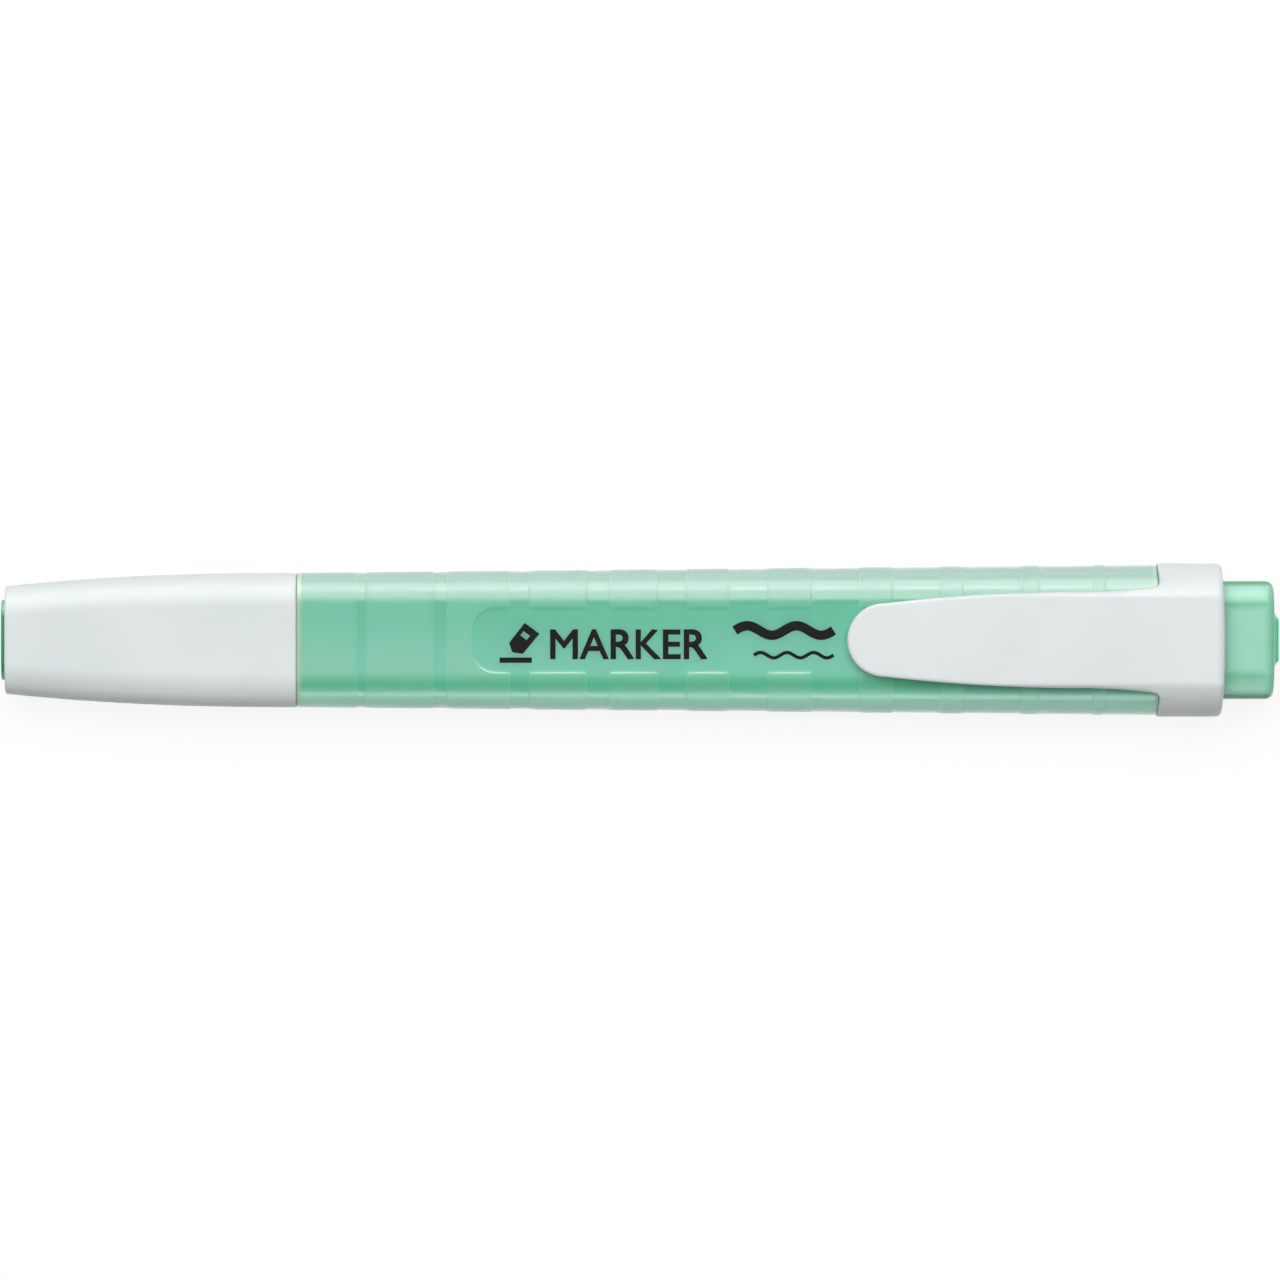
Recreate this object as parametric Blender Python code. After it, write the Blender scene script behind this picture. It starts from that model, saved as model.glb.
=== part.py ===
"""Flat pocket highlighter with a pull-off cap, a collar with a spring clip, and a plugged tail.

The pen lies on its back along X, with its cap towards -X and its clip upwards, and rests on Z = 0. Every shell has
the same kind of cross-section: a flat front and a flat back between rounded flanks. So a piece is a loft through
such sections, or a prism of one of them. Sizes are in millimetres and become metres where a mesh is made.
A station is a distance along the pen from the face of the button in the cap's end.
"""

import math
from dataclasses import dataclass, replace

import bmesh
import bpy

MM = 0.001

# Driving dimensions
LENGTH = 135.0
THICKNESS = 11.0
FRONT_WIDTH = 14.2
REAR_WIDTH = 16.0
SLIP = 0.25  # clearance between pieces that meet or slide
AXIS_Z = THICKNESS / 2
STEPS_PER_FLANK = 5
STEPS_PER_EDGE = 3

# Stations along the pen
CAP_END = 0.45
NECK_FRONT = 22.4
CAP_MOUTH = 31.25
SHOULDER = CAP_MOUTH + SLIP
COLLAR_FRONT = 122.4
COLLAR_REAR = 129.2
NECK_REAR = 127.2
TAIL_END = LENGTH - 0.5

# Barrel
WALL = 1.25
FRONT_FLAT = 3.45  # half the width of the flat front
REAR_FLAT = 4.05
FRONT_CREASE = 1.05  # flank height over flank width: 1 runs smoothly into the flat, more leaves a crease
REAR_CREASE = 1.25
BORE = (8.8, 5.6, 2.4)  # width, thickness and corner of the hole through the front neck
RIB_PLACE = 2.6
RIB_WIDTH = 0.8
BANDS = (6.4, 7.1, 6.6, 6.0, 4.9, 4.3, 4.4, 3.4, 2.3, 1.8, 1.1)  # lengths of the raised bands, from the shoulder
GROOVES = (1.0, 1.5, 2.0, 2.6, 3.2, 4.2, 5.2, 5.2, 6.2, 5.9)  # lengths of the grooves between them
BAND_RELIEF = 0.08
PANEL_START = 49.8
PANEL_EDGE = 0.06  # width of the step round the printing panel

# Cap and inner cap
CAP_WALL = 1.0
CAP_END_WIDTH = 11.35
CAP_END_THICKNESS = 9.2
CAP_END_FLAT = 2.55
CAP_CURVE = 2.3  # power of the curve that draws the cap in towards its end
LINER_WALL = 0.8
LINER_MOUTH = 19.6
BUTTON = (8.5, 5.4, 1.9)

# Necks and their snap beads
NECK_PLAY = 0.05  # extra room between the front neck and the cap
REAR_NECK = (12.5, 8.4, 2.9)
REAR_NECK_WALL = 1.0
BEAD_HEIGHT = 0.1
BEAD_LENGTH = 1.2
CAP_BEAD = 28.6
COLLAR_BEAD = 125.0

# Collar and clip
COLLAR_WIDTH = 16.2
COLLAR_TOP = 13.3
COLLAR_FLAT = 4.7
COLLAR_FLANK = 6.2
COLLAR_ROUND = 0.9
COLLAR_CROWN = 0.25
CLIP_TIP = 89.3
CLIP_THICKNESS = 1.4
CLIP_TIP_LENGTH = 3.9
CLIP_TIP_HALF = 3.88
CLIP_WAIST = 114.0  # the arm widens up to here, and beyond it flares out to the collar
CLIP_WAIST_HALF = 5.07
CLIP_FLARE = 0.65
CLIP_ROOT_GAP = 0.25  # the real moulding bends here
CLIP_BEND = 0.65  # how far the tip bends down, over the bend's length
CLIP_BEND_LENGTH = 9.0
CLIP_THINNING = 0.25
GRIP_BUMP = 0.5
GRIP_BUMP_STATION = 91.9
GRIP_BUMP_SPREAD = 1.3
POCKET_HALF_WIDTH = 3.6
POCKET_DEPTH = 4.0

# Nib holder, nib and reservoir
NOZZLE_FRONT = 14.3
FLANGE_FRONT = 21.3
NOZZLE = (8.4, 6.8, 3.1)
NOZZLE_LIP = (6.8, 5.4, 2.4)
PLUG_REAR = 31.2
NIB = (4.6, 3.2, 0.6)
NIB_TIP = 8.8
NIB_TAIL = 38.0
CHISEL_LEAN = 0.32
CHISEL_EDGE = 0.9
RESERVOIR = (10.2, 6.1, 2.7)
RESERVOIR_FRONT = 34.0
RESERVOIR_REAR = 118.6
FILM = 0.25

# Tail plug
SKIRT_FRONT = 119.4
SKIRT_WALL = 0.9
HEAD_WALL = 1.2
BOSS = (5.9, 4.0, 0.9)
BOSS_TAPER = 0.55


@dataclass
class Section:
    """A cross-section: a flat back and front joined by flanks that end square to the pen's width."""

    station: float
    half_width: float
    half_height: float
    flat: float
    rise: float  # height of each flank
    top: float = None  # height of the front, where it isn't opposite the back
    top_flat: float = None
    top_rise: float = None
    panel: float = 0.0  # how far the flat front is sunk below its edge
    crown: float = 0.0  # how far the middle stands ahead of the sides along the pen
    lean: float = 0.0  # slant along the pen for each millimetre of width
    middle: float = AXIS_Z


def flank(flat, half_width, rise):
    """(distance from the middle, drop below the flat) along an arc that ends upright at half_width."""
    width = half_width - flat
    rise = max(rise, width)
    radius = (width**2 + rise**2) / (2 * width)
    first = math.asin((radius - width) / radius)
    points = []
    for step in range(STEPS_PER_FLANK + 1):
        angle = first + (math.pi / 2 - first) * step / STEPS_PER_FLANK
        points.append((half_width - radius + radius * math.sin(angle), rise - radius * math.cos(angle)))
    return points


def outline(section):
    """The section's (y, z) points, once round from the front's middle."""
    back = section.middle - section.half_height
    front = section.top or section.middle + section.half_height
    top_flat = section.top_flat or section.flat
    top_rise = section.top_rise or section.rise
    half = [(top_flat - PANEL_EDGE, front - section.panel)]
    half += [(y, front - drop) for y, drop in flank(top_flat, section.half_width, top_rise)]
    half += [(y, back + drop) for y, drop in reversed(flank(section.flat, section.half_width, section.rise))]
    return half + [(-y, z) for y, z in reversed(half)]


def rounded(station, size, **more):
    """A plain section with round corners, from its width, thickness and corner radius."""
    width, thickness, corner = size
    return Section(station, width / 2, thickness / 2, width / 2 - corner, corner, **more)


def inset(section, depth, station=None):
    """The same section, taken in all round by depth."""
    return replace(
        section,
        station=section.station if station is None else station,
        half_width=section.half_width - depth,
        half_height=section.half_height - depth,
        rise=section.rise - depth,
    )


def round_edge(section_at, end, radius, inward):
    """Sections from a face at end to the full outline, round a quarter circle. The solid lies inward of the face."""
    sections = []
    for step in range(STEPS_PER_EDGE + 1):
        angle = math.radians(90) * step / STEPS_PER_EDGE
        run = radius * (1 - math.cos(angle))
        sections.append(section_at(end + inward * run, radius * (1 - math.sin(angle))))
    return sections


def bead(section_at, middle, height):
    """Four sections that make a low ridge round a piece, or with a negative height a groove."""
    ends = BEAD_LENGTH / 2
    return [
        section_at(middle - ends, 0.0),
        section_at(middle - ends / 2, -height),
        section_at(middle + ends / 2, -height),
        section_at(middle + ends, 0.0),
    ]


def along(start, end, share):
    return start + (end - start) * share


def body_section(station, depth=0.0, sunk=False):
    """The barrel's outer section. It widens evenly from the shoulder to the collar."""
    share = (station - SHOULDER) / (COLLAR_FRONT - SHOULDER)
    half_width = along(FRONT_WIDTH, REAR_WIDTH, share) / 2
    flat = along(FRONT_FLAT, REAR_FLAT, share)
    rise = (half_width - flat) * along(FRONT_CREASE, REAR_CREASE, share)
    section = inset(Section(station, half_width, THICKNESS / 2, flat, rise), depth)
    return replace(section, panel=BAND_RELIEF if sunk else 0.0)


def cap_section(station, depth=0.0):
    """The cap's outer section: the barrel's at the mouth, drawn in on a long curve towards the end."""
    run = (CAP_MOUTH - station) / (CAP_MOUTH - CAP_END)
    share = max(0.0, run) ** CAP_CURVE
    half_width = along(FRONT_WIDTH, CAP_END_WIDTH, share) / 2
    half_height = along(THICKNESS, CAP_END_THICKNESS, share) / 2
    flat = along(FRONT_FLAT, CAP_END_FLAT, share)
    return inset(Section(station, half_width, half_height, flat, half_width - flat), depth)


def neck_section(station, depth=0.0):
    """The front neck, which fits inside the cap."""
    return inset(body_section(SHOULDER), CAP_WALL + SLIP + NECK_PLAY + depth, station)


def rear_neck_section(station, depth=0.0):
    """The rear neck and, behind it, the head of the tail plug."""
    return inset(rounded(station, REAR_NECK), depth)


def collar_section(station, depth=0.0, crown=0.0):
    """The collar: the barrel's own outline at the back, and a raised front with sloping flanks."""
    return Section(
        station,
        COLLAR_WIDTH / 2 - depth,
        AXIS_Z - depth,
        REAR_FLAT,
        (COLLAR_WIDTH / 2 - REAR_FLAT) * REAR_CREASE - depth,
        top=COLLAR_TOP - depth,
        top_flat=COLLAR_FLAT,
        top_rise=COLLAR_FLANK - depth,
        crown=crown,
    )


def reservoir_section(station, depth=0.0):
    return inset(rounded(station, RESERVOIR), depth)


def place(section, y, z):
    """A point of the section, in metres from the pen's middle."""
    share = y / section.half_width
    x = section.station - section.crown * share**2 + section.lean * y
    return ((x - LENGTH / 2) * MM, y * MM, z * MM)


def loft(name, sections, collection, ring=False):
    """A closed solid through the sections. A ring joins the last to the first; otherwise both ends get a face."""
    mesh = bpy.data.meshes.new(name)
    shape = bmesh.new()
    loops = [[shape.verts.new(place(section, y, z)) for y, z in outline(section)] for section in sections]
    pairs = list(zip(loops, loops[1:]))
    if ring:
        pairs.append((loops[-1], loops[0]))
    else:
        shape.faces.new(loops[0])
        shape.faces.new(loops[-1])
    for here, there in pairs:
        for i in range(len(here)):
            shape.faces.new((here[i - 1], here[i], there[i], there[i - 1]))
    bmesh.ops.recalc_face_normals(shape, faces=shape.faces)
    shape.to_mesh(mesh)
    shape.free()
    obj = bpy.data.objects.new(name, mesh)
    collection.objects.link(obj)
    return obj


def prism(name, section, length, collection):
    """A solid of one section, drawn as a flat curve and extruded along the pen from the section's station."""
    curve = bpy.data.curves.new(f"{name}_outline", "CURVE")
    curve.dimensions = "2D"
    curve.fill_mode = "BOTH"
    curve.extrude = length / 2 * MM
    points = outline(section)
    spline = curve.splines.new("POLY")
    spline.points.add(len(points) - 1)
    for point, (y, z) in zip(spline.points, points):
        point.co = (y * MM, (z - section.middle) * MM, 0, 1)
    spline.use_cyclic_u = True
    drawn = bpy.data.objects.new(f"{name}_outline", curve)
    collection.objects.link(drawn)
    # The curve's own X and Y become the pen's Y and Z.
    drawn.rotation_euler = (math.radians(90), 0, math.radians(90))
    drawn.location = ((section.station + length / 2 - LENGTH / 2) * MM, 0, section.middle * MM)
    bpy.context.view_layer.update()
    mesh = bpy.data.meshes.new_from_object(drawn.evaluated_get(bpy.context.evaluated_depsgraph_get()))
    shape = bmesh.new()
    shape.from_mesh(mesh)
    bmesh.ops.remove_doubles(shape, verts=shape.verts, dist=0.001 * MM)
    shape.to_mesh(mesh)
    shape.free()
    mesh.name = name
    obj = bpy.data.objects.new(name, mesh)
    obj.matrix_world = drawn.matrix_world
    collection.objects.link(obj)
    bpy.data.objects.remove(drawn)
    return obj


def block(name, low, high, collection):
    """A box between two corners given as (station, y, z)."""
    bpy.ops.mesh.primitive_cube_add(size=MM)
    obj = bpy.context.active_object
    obj.name = name
    station, y, z = ((a + b) / 2 for a, b in zip(low, high))
    obj.location = ((station - LENGTH / 2) * MM, y * MM, z * MM)
    obj.scale = [b - a for a, b in zip(low, high)]
    for owner in obj.users_collection:
        owner.objects.unlink(obj)
    collection.objects.link(obj)
    return obj


def combine(obj, tool, operation):
    """Cuts obj by tool, or joins tool to it. The tool stays as a wire helper."""
    modifier = obj.modifiers.new(tool.name, "BOOLEAN")
    modifier.operation = operation
    modifier.object = tool
    modifier.solver = "EXACT"
    tool.display_type = "WIRE"
    tool.hide_render = True


def grip_bands():
    """The barrel's outside from shoulder to collar: raised bands that narrow evenly, with grooves between them."""
    front = round_edge(body_section, SHOULDER, 0.4, 1)
    rear = round_edge(lambda station, depth: body_section(station, BAND_RELIEF + depth), COLLAR_FRONT, 0.25, -1)
    bands = []
    start = SHOULDER
    for band, groove in zip(BANDS, (*GROOVES, 0)):
        end = start + band
        if start > SHOULDER:
            bands.append(body_section(start - BAND_RELIEF, BAND_RELIEF))
            bands.append(body_section(start, sunk=start > PANEL_START))
        if start < PANEL_START < end:
            bands.append(body_section(PANEL_START))
            bands.append(body_section(PANEL_START + BAND_RELIEF, sunk=True))
        bands.append(body_section(end, sunk=end > PANEL_START))
        bands.append(body_section(end + BAND_RELIEF, BAND_RELIEF))
        start = end + groove
    return front + bands + list(reversed(rear))


def make_barrel(collection, tools):
    """A shell open at both ends, with a neck in front for the cap and one behind for the collar."""
    bore = rounded(NECK_FRONT, BORE)
    outside = round_edge(neck_section, NECK_FRONT, 0.3, 1)
    outside += bead(neck_section, CAP_BEAD, BEAD_HEIGHT)
    outside += [neck_section(SHOULDER)]
    outside += grip_bands()
    outside += [rear_neck_section(COLLAR_FRONT)]
    outside += bead(rear_neck_section, COLLAR_BEAD, BEAD_HEIGHT)
    outside += [rear_neck_section(NECK_REAR)]
    inside = [
        rear_neck_section(NECK_REAR, REAR_NECK_WALL),
        rear_neck_section(COLLAR_FRONT - 1.5, REAR_NECK_WALL),
        body_section(COLLAR_FRONT - 2.5, WALL),
        body_section(SHOULDER + 2.0, WALL),
        replace(bore, station=SHOULDER + 1.8),
        bore,
    ]
    barrel = loft("barrel", outside + inside, collection, ring=True)

    # Ribs along the inside hold the reservoir away from the walls.
    near = RESERVOIR[1] / 2 + SLIP
    far = THICKNESS / 2 - WALL / 2
    for side in (-1, 1):
        for lift in (-1, 1):
            y = side * RIB_PLACE
            heights = sorted((AXIS_Z + lift * near, AXIS_Z + lift * far))
            low = (RESERVOIR_FRONT + 1.5, y - RIB_WIDTH / 2, heights[0])
            high = (RESERVOIR_REAR - 2.0, y + RIB_WIDTH / 2, heights[1])
            combine(barrel, block(f"rib_{side}_{lift}", low, high, tools), "UNION")
    return barrel


def make_nib_holder(collection):
    """Nozzle, flange and plug in one, with a rectangular bore that grips the nib."""
    width, thickness, corner = NIB
    socket = rounded(NOZZLE_FRONT + 0.6, (width + 2 * SLIP, thickness + 2 * SLIP, corner + 0.1))
    lip = rounded(NOZZLE_FRONT, NOZZLE_LIP)
    flange = neck_section(FLANGE_FRONT, 0.3)
    plug = inset(rounded(NECK_FRONT - SLIP, BORE), SLIP)
    sections = [
        socket,
        inset(lip, 0.3),
        replace(lip, station=NOZZLE_FRONT + 0.3),
        rounded(FLANGE_FRONT, NOZZLE),
        flange,
        replace(flange, station=NECK_FRONT - SLIP),
        plug,
        replace(plug, station=PLUG_REAR),
        replace(socket, station=PLUG_REAR),
    ]
    return loft("nib_holder", sections, collection, ring=True)


def make_nib(collection):
    """A felt rod, slanted and drawn to a chisel in front and tapered where it enters the reservoir."""
    width, _, corner = NIB
    rod = rounded(NOZZLE_FRONT - 0.9, NIB)
    edge = rounded(NIB_TIP + CHISEL_LEAN * width / 2, (width - 0.2, CHISEL_EDGE, 0.3), lean=CHISEL_LEAN)
    tail = rounded(NIB_TAIL, (2.6, 1.8, corner))
    shoulder = replace(rod, station=rod.station - 0.8, lean=CHISEL_LEAN / 3)
    return loft("nib", [edge, shoulder, rod, replace(rod, station=NIB_TAIL - 2), tail], collection)


def make_reservoir(collection, tools):
    """The film sleeve, and the fibre core inside it with a pocket for the nib's tail."""
    length = RESERVOIR_REAR - RESERVOIR_FRONT
    wrap = prism("reservoir_wrap", reservoir_section(RESERVOIR_FRONT), length, collection)
    inside = prism("wrap_cutter", reservoir_section(RESERVOIR_FRONT - 1, FILM), length + 2, tools)
    combine(wrap, inside, "DIFFERENCE")

    core = prism("reservoir_core", reservoir_section(RESERVOIR_FRONT, FILM + SLIP / 2), length, collection)
    width, thickness, corner = NIB
    pocket = rounded(RESERVOIR_FRONT - 1, (width + 2 * SLIP, thickness + 2 * SLIP, corner))
    cutter = prism("nib_pocket_cutter", pocket, NIB_TAIL + SLIP - pocket.station, tools)
    combine(core, cutter, "DIFFERENCE")
    return wrap, core


def make_tail_plug(collection):
    """A hollow plug: a skirt inside the rear neck, a head behind it, and a low boss on its end."""
    skirt = rear_neck_section(SKIRT_FRONT, REAR_NECK_WALL + SLIP)
    head_front = NECK_REAR + SLIP
    boss = rounded(TAIL_END, BOSS)
    sections = [
        rear_neck_section(TAIL_END - HEAD_WALL, HEAD_WALL),
        rear_neck_section(head_front + HEAD_WALL, HEAD_WALL),
        inset(skirt, SKIRT_WALL, NECK_REAR),
        inset(skirt, SKIRT_WALL),
        inset(skirt, 0.2),
        replace(skirt, station=SKIRT_FRONT + 0.8),
        replace(skirt, station=head_front),
        rear_neck_section(head_front),
        *reversed(round_edge(rear_neck_section, TAIL_END, 0.8, -1)),
        boss,
        inset(boss, BOSS_TAPER, LENGTH),
    ]
    return loft("tail_plug", sections, collection)


def make_cap_shell(collection):
    """A tapered cup with a window in its end wall."""
    width, thickness, corner = BUTTON
    window = rounded(CAP_END, (width + 2 * SLIP, thickness + 2 * SLIP, corner + 0.1))
    floor = CAP_END + CAP_WALL
    stations = [along(floor, CAP_MOUTH, share) for share in (0.1, 0.25, 0.45, 0.7)]
    sections = [
        *round_edge(cap_section, CAP_END, 0.4, 1),
        *[cap_section(station) for station in stations],
        *reversed(round_edge(cap_section, CAP_MOUTH, 0.4, -1)),
        cap_section(CAP_MOUTH, CAP_WALL - 0.2),
        cap_section(CAP_MOUTH - 0.4, CAP_WALL),
        *[cap_section(station, CAP_WALL) for station in reversed(stations)],
        cap_section(floor, CAP_WALL + 0.1),
        replace(window, station=floor),
        window,
    ]
    return loft("cap_shell", sections, collection, ring=True)


def make_cap_liner(collection):
    """A cup inside the cap with a sealing lip at its mouth. Its end stands through the cap as a button."""
    outer = CAP_WALL + SLIP
    floor = CAP_END + outer
    inner = outer + LINER_WALL
    width, thickness, corner = NOZZLE
    seal = rounded(LINER_MOUTH, (width + 2 * SLIP, thickness + 2 * SLIP, corner))
    button = rounded(floor, BUTTON)
    sections = [
        *round_edge(lambda station, depth: cap_section(station, inner + depth), floor + LINER_WALL, 0.3, 1),
        *[cap_section(station, inner) for station in (7.0, 12.0, 16.8)],
        replace(seal, station=17.8),
        seal,
        *[cap_section(station, outer) for station in (LINER_MOUTH, 15.0, 10.0, 6.0)],
        *reversed(round_edge(lambda station, depth: cap_section(station, outer + depth), floor, 0.3, 1)),
        button,
        *reversed(round_edge(lambda station, depth: inset(button, depth, station), 0.0, 0.25, 1)),
    ]
    return loft("cap_liner", sections, collection)


def make_clip_collar(collection, tools):
    """A ring on the rear neck with a raised front, which has a pocket in line with the gap under the clip."""
    front = COLLAR_FRONT + SLIP
    rear = round_edge(collar_section, COLLAR_REAR, COLLAR_ROUND, -1)
    for number, section in enumerate(reversed(rear)):
        section.crown = COLLAR_CROWN * number / STEPS_PER_EDGE
    sections = [
        *round_edge(collar_section, front, 0.15, 1),
        *reversed(rear),
        rear_neck_section(COLLAR_REAR - COLLAR_CROWN, -SLIP),
        *reversed(bead(lambda station, depth: rear_neck_section(station, depth - SLIP), COLLAR_BEAD, BEAD_HEIGHT)),
        rear_neck_section(front, -SLIP),
    ]
    collar = loft("clip_collar", sections, collection, ring=True)
    low = (front - 1, -POCKET_HALF_WIDTH, THICKNESS)
    high = (front + POCKET_DEPTH, POCKET_HALF_WIDTH, COLLAR_TOP - CLIP_THICKNESS)
    combine(collar, block("pocket_cutter", low, high, tools), "DIFFERENCE")
    return collar


def clip_half_width(station):
    """Half the clip's width: an elliptical tip, a slow widening, and a flare where it meets the collar."""
    tip_end = CLIP_TIP + CLIP_TIP_LENGTH
    if station < tip_end:
        return CLIP_TIP_HALF * math.sqrt(max(0.0, 1 - ((tip_end - station) / CLIP_TIP_LENGTH) ** 2))
    narrowing = max(0.0, (CLIP_WAIST - station) / (CLIP_WAIST - tip_end))
    flare = max(0.0, (station - CLIP_WAIST) / (COLLAR_FRONT - CLIP_WAIST))
    return along(CLIP_WAIST_HALF, CLIP_TIP_HALF, narrowing**2) + CLIP_FLARE * flare**2


def clip_section(station):
    """The arm carries on the collar's raised front, bends down at its tip and has a grip bump under it."""
    half_width = max(clip_half_width(station), 0.5)
    bend = max(0.0, 1 - (station - CLIP_TIP) / CLIP_BEND_LENGTH)
    top = COLLAR_TOP - CLIP_BEND * bend**2
    bump = GRIP_BUMP * math.exp(-(((station - GRIP_BUMP_STATION) / GRIP_BUMP_SPREAD) ** 2))
    thickness = CLIP_THICKNESS - CLIP_THINNING * bend + bump
    return Section(
        station,
        half_width,
        thickness / 2,
        half_width - 0.2,
        0.2,
        top_flat=min(COLLAR_FLAT, half_width - 0.3),
        top_rise=thickness * 0.45,
        middle=top - thickness / 2,
    )


def make_clip_arm(collection):
    root = COLLAR_FRONT + SLIP - CLIP_ROOT_GAP
    runs = (0.03, 0.3, 0.8, 1.5, 2.2, 3.0, CLIP_TIP_LENGTH, 5.5, 9.0, 14.0, 19.0)
    stations = [CLIP_TIP + run for run in runs]
    stations += [along(CLIP_WAIST, root, share) for share in (0, 0.4, 0.7, 1)]
    return loft("clip_arm", [clip_section(station) for station in stations], collection)


def plastic(name, colour, roughness, metallic=0.0):
    material = bpy.data.materials.new(name)
    material.use_nodes = True
    shader = material.node_tree.nodes["Principled BSDF"]
    shader.inputs["Base Color"].default_value = (*colour, 1.0)
    shader.inputs["Roughness"].default_value = roughness
    shader.inputs["Metallic"].default_value = metallic
    return material


def finish(obj, material, body):
    """Gives a piece its material and smooth shading, and puts it under the body that it moves with."""
    obj.data.materials.clear()
    obj.data.materials.append(material)
    obj.data.shade_smooth()
    obj.data.set_sharp_from_angle(angle=math.radians(30))
    obj.parent = body
    obj.matrix_parent_inverse = body.matrix_world.inverted()


def main():
    for obj in list(bpy.data.objects):
        bpy.data.objects.remove(obj)
    pen = bpy.data.collections.new("highlighter")
    tools = bpy.data.collections.new("helpers")
    for collection in (pen, tools):
        bpy.context.scene.collection.children.link(collection)

    white = plastic("white_plastic", (0.78, 0.80, 0.80), 0.35)
    mint = plastic("mint_plastic", (0.22, 0.60, 0.42), 0.3)
    pale_mint = plastic("pale_mint_plastic", (0.32, 0.66, 0.48), 0.25)
    felt = plastic("inked_felt", (0.20, 0.62, 0.44), 0.9)
    fibre = plastic("inked_fibre", (0.35, 0.70, 0.55), 0.95)
    film = plastic("clear_film", (0.85, 0.90, 0.88), 0.2)

    # The clip's empty stands on the line that its arm bends about.
    bodies = {name: bpy.data.objects.new(f"{name}_body", None) for name in ("pen", "cap", "clip")}
    bodies["clip"].location = ((COLLAR_FRONT - LENGTH / 2) * MM, 0, (COLLAR_TOP - CLIP_THICKNESS / 2) * MM)
    for body in bodies.values():
        pen.objects.link(body)
    bpy.context.view_layer.update()

    wrap, core = make_reservoir(pen, tools)
    finish(make_barrel(pen, tools), mint, bodies["pen"])
    finish(make_nib_holder(pen), white, bodies["pen"])
    finish(make_nib(pen), felt, bodies["pen"])
    finish(wrap, film, bodies["pen"])
    finish(core, fibre, bodies["pen"])
    finish(make_tail_plug(pen), pale_mint, bodies["pen"])
    finish(make_clip_collar(pen, tools), white, bodies["pen"])
    finish(make_clip_arm(pen), white, bodies["clip"])
    finish(make_cap_shell(pen), white, bodies["cap"])
    finish(make_cap_liner(pen), mint, bodies["cap"])


main()
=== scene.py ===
"""Looks for a flat pocket highlighter: white cap and clip, mint barrel with raised grip bands, mint tail.

The pen lies on its back along X, cap towards -X, clip up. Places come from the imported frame. Sizes are in
millimetres and become metres where a mesh is made. Every shell is a skin over rings of points, and each
ring has the same flat front and back between rounded flanks. Geometry Nodes raise the grip bands, stand the
vent ribs round the nozzle and draw the printed strokes.
"""

import math

import bmesh
import bpy
import numpy as np
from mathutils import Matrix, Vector


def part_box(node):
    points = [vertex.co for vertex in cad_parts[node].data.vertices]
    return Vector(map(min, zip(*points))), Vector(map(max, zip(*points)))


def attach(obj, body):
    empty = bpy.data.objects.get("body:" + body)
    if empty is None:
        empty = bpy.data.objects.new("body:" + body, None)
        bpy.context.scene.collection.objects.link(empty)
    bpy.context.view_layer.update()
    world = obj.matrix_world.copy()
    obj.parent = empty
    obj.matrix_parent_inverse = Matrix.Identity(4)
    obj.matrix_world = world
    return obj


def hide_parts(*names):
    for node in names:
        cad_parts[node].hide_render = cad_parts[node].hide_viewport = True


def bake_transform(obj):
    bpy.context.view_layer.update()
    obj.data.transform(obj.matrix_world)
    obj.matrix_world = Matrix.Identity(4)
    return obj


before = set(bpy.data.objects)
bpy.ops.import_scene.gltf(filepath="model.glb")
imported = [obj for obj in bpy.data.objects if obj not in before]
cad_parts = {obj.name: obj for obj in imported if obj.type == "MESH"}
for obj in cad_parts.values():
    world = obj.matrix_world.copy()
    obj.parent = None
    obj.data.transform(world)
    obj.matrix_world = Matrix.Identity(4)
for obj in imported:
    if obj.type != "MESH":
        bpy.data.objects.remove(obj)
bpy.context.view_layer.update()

MM = 0.001


def reach(node):
    """A node's lowest and highest corner, in millimetres."""
    low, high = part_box(node)
    return np.array(low) / MM, np.array(high) / MM


cap_low, cap_high = reach("cap_shell")
liner_low, liner_high = reach("cap_liner")
barrel_low, barrel_high = reach("barrel")
collar_low, collar_high = reach("clip_collar")
arm_low, _ = reach("clip_arm")
tail_low, tail_high = reach("tail_plug")
holder_low, holder_high = reach("nib_holder")
nib_low, nib_high = reach("nib")

AXIS = cap_high[2] / 2  # height of the pen's middle line
HALF_THICK = AXIS

# How finely half a ring of points is drawn, over its front, each of its flanks and its back
FRONT_STEPS = 14
FLANK_STEPS = 18
BACK_STEPS = 8
LEDGE_STEPS = 6  # of the front's points, those between the printing panel and the flank

# Barrel
SEAM = 0.04  # shut line between cap and barrel, and between barrel and collar
SHOULDER = cap_high[0] + SEAM
COLLAR_FRONT = collar_low[0] - 0.1
FRONT_HALF = cap_high[1]
REAR_HALF = 8.0
FRONT_FLAT = 3.62
REAR_FLAT = 4.2
FRONT_CREASE = 1.05
REAR_CREASE = 1.25
BARREL_WALL = 1.25
BARREL_BORE = (8.8, 5.6, 2.4)  # width, thickness and corner radius, as for every rounded size below
EDGE_ROUND = 0.12
STATION_GAP = 0.9
BANDS = (6.3, 7.0, 6.55, 5.9, 4.9, 4.3, 4.45, 3.4, 2.25, 1.7, 1.1)
GROOVES = (1.1, 1.5, 2.15, 2.6, 3.2, 4.25, 5.2, 5.15, 6.3, 5.9)
BAND_RELIEF = 0.06
BAND_STEP = 0.12  # length over which a band rises
BAND_LIP = 0.6  # strip along a band's edge that stays a little lower
LIP_HEIGHT = 0.82  # share of the relief that the strip reaches
WINDOW_FRONT = -17.7
WINDOW_HALF = 3.42
WINDOW_CORNER = 2.5
WINDOW_STEP = 0.1

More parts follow.
